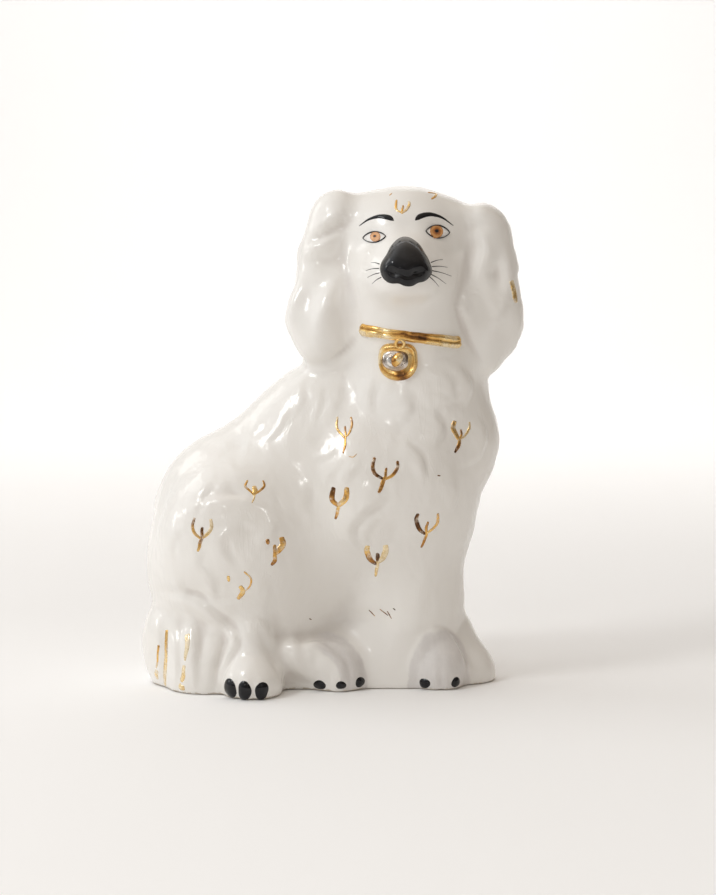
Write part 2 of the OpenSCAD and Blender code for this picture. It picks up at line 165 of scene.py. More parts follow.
def surface_net(depth, origin):
    """Vertices and quads of the surface where depth is nil; depth is positive inside."""
    inside = depth > 0
    nx, ny, nz = (n - 1 for n in depth.shape)
    corners = [(i, j, k) for i in (0, 1) for j in (0, 1) for k in (0, 1)]
    count = sum(inside[i:i + nx, j:j + ny, k:k + nz].astype(np.int8) for i, j, k in corners)
    cubes = np.argwhere((count > 0) & (count < 8))
    total = np.zeros((len(cubes), 3))
    hits = np.zeros(len(cubes))
    for a in corners:
        for axis in range(3):
            if a[axis]:
                continue
            b = tuple(1 if axis == n else a[n] for n in range(3))
            da = depth[tuple((cubes + a).T)]
            db = depth[tuple((cubes + b).T)]
            cut = (da > 0) != (db > 0)
            t = np.where(cut, da / np.where(cut, da - db, 1), 0)
            point = np.tile(np.array(a, float), (len(cubes), 1))
            point[:, axis] += t
            total += point * cut[:, None]
            hits += cut
    places = origin + (cubes + total / hits[:, None] + 0.5) * CELL
    index = np.full((nx, ny, nz), -1)
    index[tuple(cubes.T)] = np.arange(len(cubes))
    quads = []
    for axis in range(3):
        side, up = [(axis + 1) % 3, (axis + 2) % 3]
        step = np.eye(3, dtype=int)
        ends = [slice(0, n) for n in depth.shape]
        low = inside[tuple(slice(0, -1) if n == axis else ends[n] for n in range(3))]
        high = inside[tuple(slice(1, None) if n == axis else ends[n] for n in range(3))]
        edges = np.argwhere(low != high)
        edges = edges[(edges[:, side] > 0) & (edges[:, up] > 0)
                      & (edges[:, side] < depth.shape[side] - 1) & (edges[:, up] < depth.shape[up] - 1)]
        leaves = low[tuple(edges.T)]
        ring = [edges - step[side] - step[up], edges - step[up], edges, edges - step[side]]
        quad = np.stack([index[tuple(r.T)] for r in ring], axis=1)
        quad[~leaves] = quad[~leaves][:, ::-1]
        quads.append(quad)
    return places, np.concatenate(quads)


class Skin:
    """The glazed surface: its vertices in millimetres, its quads, and what the sculpting needs of them."""

    def __init__(self, places, quads):
        self.at = places
        self.quads = quads
        pairs = np.concatenate([quads[:, [n, (n + 1) % 4]] for n in range(4)])
        self.edges = np.unique(np.sort(pairs, axis=1), axis=0)
        self.degree = np.bincount(self.edges.ravel(), minlength=len(places)).astype(float)

    def spread(self, values):
        """The mean of each vertex's neighbours."""
        a, b = self.edges.T
        out = np.empty_like(values)
        for n in range(values.shape[1]):
            v = values[:, n]
            total = np.bincount(a, v[b], len(v)) + np.bincount(b, v[a], len(v))
            out[:, n] = total / self.degree
        return out

    def smooth(self, rounds, keep=-0.53):
        """Taubin smoothing: it takes out ripples and keeps the volume."""
        for _ in range(rounds):
            for factor in (0.5, keep):
                self.at += factor * (self.spread(self.at) - self.at)

    def fill(self, rounds, weight):
        """Lets glaze gather in the creases: concave places rise by their weight, the rest stays."""
        for _ in range(rounds):
            step = self.spread(self.at) - self.at
            hollow = dots(step, self.normals()) > 0
            self.at += 0.5 * step * (hollow * weight)[:, None]

    def normals(self):
        a, b, c, d = (self.at[self.quads[:, n]] for n in range(4))
        face = np.cross(c - a, d - b)
        out = np.stack([
            sum(np.bincount(self.quads[:, n], face[:, axis], len(self.at)) for n in range(4))
            for axis in range(3)], axis=1)
        return out / np.maximum(np.linalg.norm(out, axis=1, keepdims=True), 1e-12)

    def tree(self):
        return BVHTree.FromPolygons(self.at.tolist(), self.quads.tolist())


def depth_inside(cover, radius):
    """How far inside the solid each cell lies, rounded over a radius."""
    soft = blurred(cover.astype(np.float32), radius / CELL)
    return (soft - 0.5) * radius * math.sqrt(TAU)


def larger(a, b, radius):
    """The larger of two fields, filleted where they meet."""
    gap = np.maximum(radius - np.abs(a - b), 0)
    return np.maximum(a, b) + gap * gap / radius / 4


def cast_skin():
    """The cast nodes, filled, softened and cut flat at the base, with a label of each cell's node."""
    origin = BOX_LOW - MARGIN * CELL
    shape = tuple(np.ceil((BOX_HIGH - BOX_LOW) / CELL).astype(int) + 2 * MARGIN)
    x, y, z = (low + (np.arange(count) + 0.5) * CELL for low, count in zip(origin, shape))
    cover = np.zeros(shape)
    label = np.full(shape, -1, np.int8)
    for n, node in enumerate(CAST):
        own = np.zeros(shape)
        add_solid(own, node_triangles(node), origin)
        label[(own > 0.5) & (label < 0)] = n
        cover += own
    cover[shut_in(cover > 0.5)] = 1
    cover = np.minimum(cover, 1)
    cover[:, :, :MARGIN] = cover[:, :, MARGIN:MARGIN + 1]
    head = rising(z, 84, 8)
    crease = depth_inside(cover, FILL) - FILL_KEEP - FILL_KEEP_COAT * (1 - head)
    depth = larger(depth_inside(cover, SOFTEN), crease, 1.2)
    depth = -larger(-depth, -z, 0.9)
    from_vent = np.hypot(*np.meshgrid(x - VENT_AT[0], y - VENT_AT[1], indexing="ij"))[:, :, None]
    depth = np.minimum(depth, np.maximum(from_vent - VENT_R, z - VENT_DEPTH))
    return Skin(*surface_net(depth, origin)), label, origin


def crease_weight(at):
    """How fully creases fill: most beside the ears, some on the coat, none on the face or underneath."""
    x, y, z = at.T
    face = rising(x, 8.5, 5) * rising(x, 33, -5) * rising(y, 0, -4)
    head = rising(z, 86, 6)
    return (0.3 + 0.7 * head) * (1 - face * head) * rising(z, 4, 6)


# ---- Sculpting: locks of hair, folds and hollows pushed into the skin along its normals ----

class Sculpt:
    """Gathers how far each vertex of a skin moves along its normal, then moves them together."""

    def __init__(self, skin):
        self.skin = skin
        self.normal = skin.normals()
        self.tree = skin.tree()
        self.lift = np.zeros(len(skin.at))

    def front(self, x, z):
        """The point of the skin that faces the display side at x, z."""
        hit, _, _, _ = self.tree.ray_cast(Vector((x, FAR_FRONT, z)), Vector((0, 1, 0)))
        if hit is None:
            hit, _, _, _ = self.tree.find_nearest(Vector((x, -20, z)))
        return np.array(hit)

    def route(self, marks):
        """The marks, x and z on the display side, joined by a smooth line on the skin."""
        return np.array([self.front(x, z) for x, z in smooth_line(marks, 1.2)])

    def near(self, points, reach):
        low, high = points.min(axis=0) - reach, points.max(axis=0) + reach
        return np.nonzero(((self.skin.at > low) & (self.skin.at < high)).all(axis=1))[0]

    def lock(self, route, height, width, groove=0.4, taper=0.7):
        """A lock of hair: a ridge along a route, steep into a groove on one side, thin at its ends."""
        pick = self.near(route, 3 * width)
        if not len(pick):
            return
        at = self.skin.at[pick]
        starts, steps = route[:-1], np.diff(route, axis=0)
        length = lengths(steps)
        along = np.concatenate([[0], np.cumsum(length)])
        best = np.full(len(at), np.inf)
        side = np.zeros(len(at))
        t = np.zeros(len(at))
        for n in range(len(steps)):
            if length[n] < 1e-6:
                continue
            way = steps[n] / length[n]
            from_start = at - starts[n]
            run = np.clip(dots(from_start, way), 0, length[n])
            off = from_start - run[:, None] * way
            gap = lengths(off)
            closer = gap < best
            across = np.cross(self.normal[pick], way)
            signed = np.sign(dots(off, across)) * gap
            best = np.where(closer, gap, best)
            side = np.where(closer, signed, side)
            t = np.where(closer, (along[n] + run) / along[-1], t)
        fade = np.sin(np.pi * np.clip(t, 0.02, 0.98)) ** taper
        reach = width * (1.2 - 0.5 * t)
        slope = reach * np.where(side > 0, 0.75, 1.9)
        ridge = hump(side, 0, slope)
        dip = hump(side, 1.35 * reach, 0.7 * reach)
        self.lift[pick] += height * fade * (ridge - groove * dip)

    def fold(self, route, height, width):
        """A soft ridge along a route, or a soft groove where the height is below nil."""
        pick = self.near(route, 3 * width)
        gap = np.linalg.norm(self.skin.at[pick][:, None] - route[None], axis=2)
        nearest = gap.argmin(axis=1)
        fade = np.sin(np.pi * np.clip((nearest + 0.5) / len(route), 0.04, 0.96)) ** 0.6
        self.lift[pick] += height * fade * hump(gap.min(axis=1), 0, width)

    def hollow(self, centre, depth, radii):
        """A soft dent about a point, or a swelling where depth is below nil."""
        pick = self.near(centre[None], 2.6 * max(radii))
        off = (self.skin.at[pick] - centre) / np.array(radii)
        self.lift[pick] -= depth * np.exp(-(off ** 2).sum(axis=1))

    def press(self):
        """Moves the vertices, just within the CAD's box."""
        self.skin.at += self.normal * self.lift[:, None]
        np.clip(self.skin.at, BOX_LOW + 0.02, BOX_HIGH - 0.02, out=self.skin.at)


def smooth_line(marks, step):
    """Points every step along a smooth curve through the marks (Catmull-Rom)."""
    marks = np.array(marks, float)
    wide = np.concatenate([[2 * marks[0] - marks[1]], marks, [2 * marks[-1] - marks[-2]]])
    out = []
    for a, b, c, d in zip(wide, wide[1:], wide[2:], wide[3:]):
        count = max(int(np.linalg.norm(c - b) / step), 1)
        for t in np.arange(count) / count:
            out.append(0.5 * (2 * b + (c - a) * t + (2 * a - 5 * b + 4 * c - d) * t * t
                              + (3 * b - a - 3 * c + d) * t ** 3))
    return np.array(out + [marks[-1]])


# Locks of hair on the display side: height, width, and the x, z places that each runs through.
LOCKS = [
    (0.95, 1.9, [(16, 57), (9.5, 52.5), (5, 47), (5.5, 42.5), (9.5, 37)]),      # elbow
    (0.5, 1.5, [(12, 50), (9, 45), (10, 40)]),
    (0.4, 1.6, [(7.7, 66), (4.4, 61), (2.8, 57)]),                              # shoulder
    (0.2, 1.5, [(-0.5, 72), (0.5, 68), (-2.8, 65.5), (-6, 65)]),
    (0.28, 1.7, [(2.2, 66), (-1, 60), (-4.4, 55.5)]),
    (0.3, 1.7, [(-6, 60), (-8, 54), (-6, 49)]),
    (0.22, 1.2, [(-6, 89), (-8.8, 84.4), (-8.3, 81), (-11, 75.5)]),              # side of the neck
    (0.22, 1.0, [(-3.9, 85), (-3.3, 81), (-5.2, 72.5)]),
    (0.16, 1.2, [(1, 88), (2, 82), (0, 77)]),
    (0.22, 1.3, [(-12, 79), (-15, 73), (-19, 69)]),
    (0.2, 1.2, [(-19, 75), (-23, 70), (-24, 65)]),
    (0.5, 1.7, [(11, 87), (10, 81), (11, 77)]),                                # chest
    (0.4, 1.8, [(25, 88), (31, 87), (33, 82), (28, 80)]),
    (0.55, 1.7, [(34, 90), (38, 85), (37, 80)]),
    (0.5, 1.8, [(19, 84), (21, 79), (18, 75)]),
    (0.6, 1.6, [(19, 69), (24, 65), (25, 60)]),
    (0.55, 1.7, [(38, 76), (42, 72), (41, 66), (36, 63)]),
    (0.5, 1.6, [(27, 77), (30, 73), (28, 69)]),
    (0.45, 1.7, [(33, 60), (34, 54), (31, 49)]),
    (0.4, 1.6, [(-29, 63), (-25, 61), (-20, 61)]),                              # top of the haunch
    (0.5, 1.7, [(-39, 51), (-32, 53.5), (-25, 54), (-18, 52)]),
    (0.35, 1.5, [(-33, 59), (-36, 55), (-38, 49)]),
    (0.4, 1.6, [(-41, 47), (-44, 42), (-44, 36)]),
    (0.35, 1.8, [(-16, 49), (-17, 44), (-21, 40)]),
    (0.35, 1.6, [(-35, 42), (-37, 37), (-33, 33)]),
    (0.35, 1.6, [(-29, 47), (-30, 41), (-27, 36)]),
    (0.45, 1.8, [(-35, 34), (-33, 30), (-33, 26)]),
    (0.35, 1.6, [(-43, 33), (-42, 29), (-39, 26)]),
    (0.3, 1.6, [(-20, 34), (-18, 29), (-19, 24)]),
    (1.0, 1.6, [(-46, 26), (-40, 26), (-36, 24.5), (-29.5, 19), (-26.5, 15.5),  # edge of the tail
                (-28, 11.5), (-30.5, 6), (-31.5, 1)]),
    (0.75, 1.6, [(-32, 20), (-31.5, 14), (-33, 8), (-34, 1)]),
    (0.6, 1.5, [(-39.5, 22), (-38.5, 15), (-38, 8), (-38, 1)]),
    (0.5, 1.5, [(-44, 22), (-43.5, 14), (-43, 7), (-43.5, 1)]),
    (0.45, 1.4, [(-49, 19), (-48, 12), (-48, 5), (-48, 1)]),
    (0.7, 2.0, [(-12, 18), (-10.5, 12), (-9, 7), (-5, 3)]),                     # middle paw
    (0.7, 1.8, [(-5, 14), (0.5, 10), (2.8, 7), (3, 3.5)]),
    (0.5, 1.6, [(22, 4), (24, 11), (28.5, 15.5), (34, 13), (38.5, 4)]),         # right paw
]
# Soft folds of the ears, and grooves where the height is below nil: height, width, places.
FOLDS = [
    (-1.0, 1.7, [(4.6, 130.6), (0, 127.8), (-5.6, 124.2)]),                     # right ear
    (0.7, 2.0, [(4.2, 132.6), (-0.5, 130.6), (-4.4, 128)]),
    (0.9, 1.7, [(0.4, 125.2), (-3.4, 123.8), (-7.2, 121.6)]),
    (1.4, 2.7, [(2.9, 116), (-0.1, 110.7), (-2.6, 103.7), (-3.6, 97.4)]),
    (-0.6, 2.2, [(6.3, 135), (4.1, 129.3), (2.8, 121.4), (4.4, 114.4), (6.2, 109.6), (6.8, 102.5)]),
    (0.45, 1.5, [(-9.5, 112), (-11.5, 105), (-10.5, 99)]),
    (1.3, 2.6, [(43.2, 126), (42.5, 120.6), (41.1, 116), (40, 110)]),           # left ear
    (-0.7, 2.3, [(37.6, 130.2), (38.7, 124), (37.4, 118), (35.5, 111.6), (34.7, 106), (36.2, 101.5)]),
    (0.6, 1.4, [(37.2, 111.6), (36.8, 106.4), (38.4, 102.3)]),
    (0.7, 1.8, [(47.8, 108.4), (46.7, 104), (43.6, 100.4)]),
    (0.5, 1.6, [(43.1, 109.6), (45, 106.6), (45, 103)]),
    (0.5, 2.4, [(36, 133), (40, 134), (44, 132.5)]),
    (0.5, 1.8, [(48.6, 122), (49.4, 116), (49.8, 110)]),
    (-0.7, 2.0, [(-19.5, 19), (-17.5, 13), (-14.4, 7.4), (-12.2, 2)]),          # beside the hind leg
    (-0.6, 1.3, [(35, 107), (36, 103.5), (38.2, 97.2), (42, 91)]),
    (-0.55, 1.1, [(-4.5, 90.8), (0, 92.4), (4.5, 95.4), (7, 98.4)]),
    (-0.6, 1.5, [(-47, 27.4), (-40, 27.2), (-32, 26.8), (-26, 26.8), (-20.5, 25.6)]),   # under the haunch
]
# Hollows on the display side: x, z, depth, and their radii in x, y and z.
HOLLOWS = [
    (-2, 70.3, 0.3, (2.6, 4, 2.6)), (-26, 67.5, 0.5, (3, 5, 3)), (-27, 56.5, 0.5, (3.4, 5, 2.4)),
    (-22.5, 45, 0.7, (3, 5, 3)), (-37, 28.8, 0.9, (4.2, 6, 3)), (-28.5, 29.8, 0.6, (5, 6, 3)),
    (17.5, 73, 0.6, (5, 5, 3)), (17, 45.5, 0.5, (3.4, 5, 3)),
    (-35.6, 15, 0.7, (1.6, 6, 5)), (-4.5, 9.5, 0.5, (1.8, 4, 2)),
    (-15, 15, 0.8, (2.4, 6, 8)), (-9, 26, 0.7, (9, 8, 8)), (-2.1, 119.5, 0.8, (5, 5, 2.8)),
    (-7, 109.4, 1.3, (3.2, 4, 5.5)), (3.6, 101.7, 0.9, (3.2, 4, 6.5)), (46.2, 115.5, 0.9, (2.1, 4, 4)),
    (40.5, 129, 0.5, (3.5, 4, 1.8)), (48.5, 100, 0.5, (3, 4, 4)), (32, 92, 0.4, (5, 4, 2)),
    (11, 126.6, 0.65, (3.8, 3, 2.6)), (29.6, 128, 0.65, (3.9, 3, 2.7)),
    (20.3, 128.5, 0.35, (3, 4, 3)), (13.2, 121.6, 0.3, (2, 3, 3)), (27.4, 121.8, 0.3, (2, 3, 3)),
    (14, 131.5, -0.3, (4, 3, 1.4)), (27, 132, -0.3, (4, 3, 1.4)),
    (-25.6, 2.5, 0.5, (0.7, 4, 4)), (-21.2, 2.5, 0.5, (0.7, 4, 4)), (-0.4, 2.4, 0.35, (0.6, 4, 3)),
    (5.2, 2.4, 0.3, (0.6, 4, 2.6)), (30.4, 2.6, 0.45, (0.9, 4, 4)), (12, 30, -0.3, (3, 4, 3)),
    (20.5, 107.6, 1.15, (8, 5, 4.6)), (0, 80, -0.7, (4.5, 6, 9)), (12, 74, 0.5, (5, 6, 8)),
]
UNEVEN = 0.10         # how far the uneven clay rises and falls
WILD_LOCKS = 150      # locks on the sides and the back
WILD_REACH = (7, 15)  # their shortest and longest
WILD_GAP = 5.2        # the least space between where two of them start
WILD_STEP = 1.1       # how far apart the places on one of them are


def wild_route(sculpt, start, length, bend):
    """A lock that starts on a point of the skin and falls with the coat, bending to one side."""
    at, route = np.array(start), []
    turn = 0.0
    for _ in range(int(length / WILD_STEP)):
        hit, normal, _, _ = sculpt.tree.find_nearest(Vector(at))
        hit, normal = np.array(hit), np.array(normal)
        route.append(hit)
        fall = np.array([-0.35 if hit[2] < 90 else 0.0, 0.0, -1.0])
        fall -= normal * (fall @ normal)
        way = fall * math.cos(turn) + np.cross(normal, fall) * math.sin(turn)
        at = hit + way / max(np.linalg.norm(way), 1e-6) * WILD_STEP
        turn += bend * WILD_STEP / length
    return np.array(route)


def combed(at):
    """Uneven clay, drawn out along the fall of the coat: about -1 to 1 at a place."""
    x, y, z = at
    warp = noise.noise_vector(Vector((x, y, z)) / 12)
    place = Vector(((x + 0.45 * z) / 3.6, y / 3.6, z / 9.5)) + warp * 0.9
    return noise.noise(place) + 0.6 * (1 - 2 * abs(noise.noise(place * 1.7 + Vector((7, 3, 5)))))


def coat_weight(at):
    """1 on the coat, less on the ears and the tail, nothing on the face, the feet and the base."""
    x, y, z = at.T
    face = rising(x, 7, 3) * rising(x, 35, -3) * rising(z, 86, 5) * rising(y, 0, -4)
    ears = 0.8 * rising(z, 88, 5)
    return (1 - face) * (1 - ears) * rising(z, 12, 12)


def sculpt_coat(skin):
    """The modelled hair and folds: those of the display side as listed, the rest by rule."""
    sculpt = Sculpt(skin)
    sculpt.lift += UNEVEN * coat_weight(skin.at) * [combed(place) for place in skin.at]
    for height, width, marks in LOCKS:
        sculpt.lock(sculpt.route(marks), height, width)
    for height, width, marks in FOLDS:
        sculpt.fold(sculpt.route(marks), height, width)
    for x, z, depth, radii in HOLLOWS:
        sculpt.hollow(sculpt.front(x, z), depth, radii)
    starts = []
    for n in rng.permutation(len(skin.at)):
        at, way = skin.at[n], sculpt.normal[n]
        away = way[1] > -0.05 and 24 < at[2] < 132 and way[2] < 0.8
        if away and all(np.linalg.norm(at - s) > WILD_GAP for s in starts):
            starts.append(at.copy())
        if len(starts) == WILD_LOCKS:
            break
    for start in starts:
        length = rng.uniform(*WILD_REACH)
        route = wild_route(sculpt, start, length, rng.uniform(-1.6, 1.6))
        if len(route) > 3:
            sculpt.lock(route, rng.uniform(0.3, 0.6), rng.uniform(1.3, 2.0), rng.uniform(0.25, 0.5))
    sculpt.press()
    skin.smooth(1)


# ---- Materials ----

class Nodes:
    """Builds the node tree of a material or a world; every method returns the socket that it makes."""

    def __init__(self, owner, place="Object"):
        owner.use_nodes = True
        self.owner = owner
        self.tree = owner.node_tree
        self.shader = self.tree.nodes.get("Principled BSDF") or self.tree.nodes["Background"]
        self.place = self.add("TexCoord").outputs[place]

    def add(self, kind, inputs=None, **values):
        node = self.tree.nodes.new("ShaderNode" + kind)
        for key, value in values.items():
            setattr(node, key, value)
        for key, source in (inputs or {}).items():
            self.join(source, node.inputs[key])
        return node

    def join(self, source, socket):
        """Links a socket to another, or sets it to a constant; a colour is (r, g, b)."""
        if hasattr(source, "links"):
            self.tree.links.new(source, socket)
        else:
            socket.default_value = (*source, 1) if socket.type == "RGBA" else source

    def noise(self, scale, detail=2.0, rough=0.5, stretch=None, warp=0.0):
        place = self.place
        if stretch:
            place = self.add("Mapping", {"Vector": place, "Scale": stretch}).outputs["Vector"]
        return self.add("TexNoise", {"Vector": place, "Scale": scale, "Detail": detail,
                                     "Roughness": rough, "Distortion": warp}).outputs["Fac"]

    def specks(self, scale, size):
        """1 inside small round specks, a few to each cell of the pattern, and 0 outside them."""
        cells = self.add("TexVoronoi", {"Vector": self.place, "Scale": scale})
        return self.ramp(cells.outputs["Distance"], (0.0, 1), (size, 0))

    def ramp(self, factor, *stops):
        """A colour ramp; a stop is (place, grey level) or (place, (r, g, b))."""
        node = self.add("ValToRGB", {"Fac": factor})
        elements = node.color_ramp.elements
        while len(elements) < len(stops):
            elements.new(0.5)
        for element, (at, colour) in zip(elements, stops):
            element.position = at
            element.color = (*(colour if isinstance(colour, tuple) else (colour,) * 3), 1)
        return node.outputs["Color"]

    def mix(self, factor, a, b):
        return self.add("Mix", {0: factor, 6: a, 7: b}, data_type="RGBA").outputs[2]

    def over(self, under, colour, mask, strength):
        """A colour laid over another where a mask says so, as strongly as given."""
        return self.mix(self.times(mask, strength), under, colour)

    def math(self, kind, a, b=0.0):
        return self.add("Math", {0: a, 1: b}, operation=kind).outputs[0]

    def times(self, a, b):
        return self.math("MULTIPLY", a, b)

    def less(self, a, b):
        return self.math("SUBTRACT", a, b)

    def map(self, value, low, high, to_low=0.0, to_high=1.0):
        return self.add("MapRange", {"Value": value, "From Min": low, "From Max": high,
                                     "To Min": to_low, "To Max": to_high}).outputs["Result"]

    def attribute(self, name):
        return self.add("Attribute", attribute_name=name).outputs["Fac"]

    def part(self, name):
        """One coordinate of the place, in metres."""
        return self.add("SeparateXYZ", {0: self.place}).outputs[name]

    def bump(self, *layers):
        """Stacks bumps; a layer is (height, depth in metres, strength)."""
        last = None
        for height, depth, strength in layers:
            inputs = {"Distance": depth, "Strength": strength, "Height": height}
            if last:
                inputs["Normal"] = last
            last = self.add("Bump", inputs).outputs["Normal"]
        self.join(last, self.shader.inputs["Normal"])

    def set(self, **values):
        """Sets the shader's sockets; an underscore stands for a space in a socket's name."""
        for key, value in values.items():
            self.join(value, self.shader.inputs[key.replace("_", " ")])


def material_nodes(name):
    return Nodes(bpy.data.materials.new(name))


def arch(nodes, x, top, half):
    """1 inside an arch that stands on the ground about x, with a crisp brushed edge: a paw's grey wash, which
    also stands for its shade.
    """
    edge, power = 0.00035, 2.2
    wobble = nodes.times(nodes.less(nodes.noise(260, 2), 0.5), 0.0016)
    across = nodes.math("DIVIDE", nodes.less(nodes.part("X"), x * MM), half * MM)
    up = nodes.math("DIVIDE", nodes.part("Z"), top * MM)
    powers = [nodes.math("POWER", nodes.math("ABSOLUTE", way), power) for way in (across, up)]
    reach = nodes.math("SQRT", nodes.math("ADD", *powers))
    inside = nodes.math("ADD", nodes.times(nodes.less(1.0, reach), half * MM), wobble)
    return nodes.map(inside, -edge, edge)


def glaze_material():
    """Warm white lead-style glaze, with painted shade a little greyer in the hollows, and washed grey paws
    whose wash also stands for their shade.
    """
    nodes = material_nodes("white_glaze")
    body = nodes.ramp(nodes.noise(22, 3, 0.55), (0.3, (0.868, 0.838, 0.790)), (0.7, (0.908, 0.886, 0.848)))
    # Painted shade: the glaze is darkened greyer in the hollows and creases of the skin, where shade falls.
    crease_shade = nodes.ramp(nodes.attribute("hollow"), (0.25, 0), (0.9, 1))
    body = nodes.over(body, (0.700, 0.650, 0.605), crease_shade, 0.5)
    blush = nodes.ramp(nodes.noise(48, 2, 0.6, warp=0.6), (0.56, 0), (0.8, 1))
    body = nodes.over(body, (0.800, 0.735, 0.690), blush, 0.16)
    # The grey arches on the fronts of the paws are a grey wash and also painted shade, where the paws turn
    # down and away from the light.
    paw_wash_and_shade = nodes.ramp(nodes.noise(420, 4, 0.7, stretch=(1, 1, 0.5)), (0.25, (0.70, 0.67, 0.65)),
                      (0.75, (0.79, 0.76, 0.735)))
    right = arch(nodes, 30.0, 16.2, 8.8)
    lobe = arch(nodes, -6.5, 12.5, 9.2)
    middle = nodes.times(arch(nodes, -2.0, 15.2, 12.0), nodes.less(1.0, lobe))
    middle = nodes.times(middle, nodes.map(nodes.part("X"), -0.006, -0.002))
    front = nodes.map(nodes.part("Y"), -0.004, -0.002, 1.0, 0.0)
    body = nodes.over(body, paw_wash_and_shade, nodes.times(nodes.math("MAXIMUM", right, middle), front), 0.9)
    body = nodes.over(body, (0.17, 0.12, 0.09), nodes.specks(95, 0.022), 0.55)
    smear = nodes.ramp(nodes.noise(90, 3, 0.6), (0.35, 0.16), (0.7, 0.25))
    nodes.set(Base_Color=body, Roughness=smear, IOR=1.5, Coat_Weight=0.25, Coat_Roughness=0.06)
    wisps = nodes.ramp(nodes.noise(380, 2, 0.5, stretch=(1, 1, 0.12), warp=0.35),
                       (0.50, 0), (0.55, 1), (0.60, 0))
    tufted = nodes.ramp(nodes.noise(75, 2, 0.5), (0.46, 0), (0.58, 1))
    wisps = nodes.times(nodes.times(wisps, tufted), nodes.attribute("coat"))
    nodes.bump((nodes.noise(150, 2, 0.5), 0.0005, 0.16), (nodes.noise(900, 2, 0.5), 0.00008, 0.10),
               (wisps, 0.0003, 0.11))
    return nodes.owner


def gilt_material(name, worn=0.0):
    """Fired bright gold. "fired" runs along each stroke from 0, thin and brown, to 1, pale and rubbed; on the
    collar and the lock it also carries painted shade and highlight.
    """
    nodes = material_nodes(name)
    streak = nodes.noise(460, 4, 0.65, stretch=(1, 1, 0.4), warp=0.8)
    uneven = nodes.times(nodes.less(nodes.noise(330, 3, 0.6, warp=0.5), 0.5), 0.9)
    fired = nodes.math("ADD", nodes.attribute("fired"), uneven)
    gold = nodes.ramp(fired, (0.02, (0.075, 0.030, 0.012)), (0.25, (0.36, 0.155, 0.035)),
                      (0.50, (0.78, 0.44, 0.115)), (0.75, (0.91, 0.64, 0.26)), (0.98, (0.94, 0.80, 0.54)))
    gold = nodes.over(gold, (0.34, 0.16, 0.05), nodes.ramp(streak, (0.3, 1), (0.6, 0)), 0.35)
    rub = nodes.times(nodes.ramp(nodes.noise(620, 4, 0.7), (0.50, 0), (0.66, 1)), worn)
    gold = nodes.mix(rub, gold, (0.78, 0.69, 0.57))
    thin = nodes.ramp(fired, (0.80, 0), (1.0, 1))
    metal = nodes.less(nodes.less(0.78, nodes.times(rub, 0.7)), nodes.times(thin, 0.5))
    rough = nodes.ramp(nodes.noise(340, 3, 0.6), (0.3, 0.14), (0.7, 0.30))
    nodes.set(Base_Color=gold, Metallic=nodes.math("MAXIMUM", metal, 0.05), Roughness=rough)
    nodes.bump((streak, 0.00012, 0.22), (nodes.noise(1500, 2), 0.00005, 0.2))
    return nodes.owner


def lustre_material():
    """Silver lustre, swirled by the brush and tarnished brown in patches."""
    nodes = material_nodes("silver_lustre")
    swirl = nodes.noise(210, 3, 0.5, warp=1.6)
    silver = nodes.ramp(swirl, (0.34, (0.32, 0.25, 0.19)), (0.46, (0.60, 0.53, 0.47)),
                        (0.60, (0.84, 0.80, 0.74)))
    tarnish = nodes.ramp(nodes.noise(190, 2, 0.5, warp=1.0), (0.48, 0), (0.60, 1))
    silver = nodes.over(silver, (0.36, 0.20, 0.07), tarnish, 0.6)
    rough = nodes.ramp(nodes.noise(300, 3), (0.3, 0.16), (0.7, 0.30))
    nodes.set(Base_Color=silver, Metallic=0.92, Roughness=rough)
    nodes.bump((swirl, 0.0002, 0.35), (nodes.noise(1600, 2), 0.00005, 0.2))
    return nodes.owner


def enamel_material(name, dark, pale, rough=(0.03, 0.09), ior=1.5):
    """Glossy painted enamel over the glaze, whose thickness varies with the brush."""
    nodes = material_nodes(name)
    brushed = nodes.noise(420, 3, 0.6, warp=0.4)
    colour = nodes.ramp(brushed, (0.32, dark), (0.68, pale))
    colour = nodes.over(colour, (0.45, 0.42, 0.40), nodes.specks(1300, 0.05), 0.3)
    gloss = nodes.ramp(nodes.noise(252, 3, 0.6), (0.3, rough[0]), (0.7, rough[1]))
    nodes.set(Base_Color=colour, Roughness=gloss, IOR=ior)
    nodes.bump((brushed, 0.0002, 0.25), (nodes.noise(1400, 2), 0.00006, 0.15))
    return nodes.owner


def iris_material():
    """Amber enamel, darker at the pupil and at the rim; "fired" runs from the middle to the rim."""
    nodes = material_nodes("amber_enamel")
    fleck = nodes.noise(1500, 3, 0.6)
    spread = nodes.times(nodes.less(fleck, 0.5), 0.5)
    colour = nodes.ramp(nodes.math("ADD", nodes.attribute("fired"), spread),
                        (0.25, (0.12, 0.035, 0.008)), (0.48, (0.45, 0.145, 0.02)),
                        (0.66, (0.62, 0.255, 0.06)), (0.84, (0.74, 0.38, 0.14)), (1.0, (0.50, 0.20, 0.05)))
    deep = nodes.ramp(nodes.noise(700, 2), (0.5, 0), (0.75, 1))
    colour = nodes.over(colour, (0.28, 0.10, 0.03), deep, 0.5)
    rough = nodes.ramp(nodes.noise(800, 2), (0.3, 0.06), (0.7, 0.14))
    nodes.set(Base_Color=colour, Roughness=rough, Coat_Weight=0.6, Coat_Roughness=0.03, IOR=1.52)
    nodes.bump((fleck, 0.00015, 0.3))
    return nodes.owner


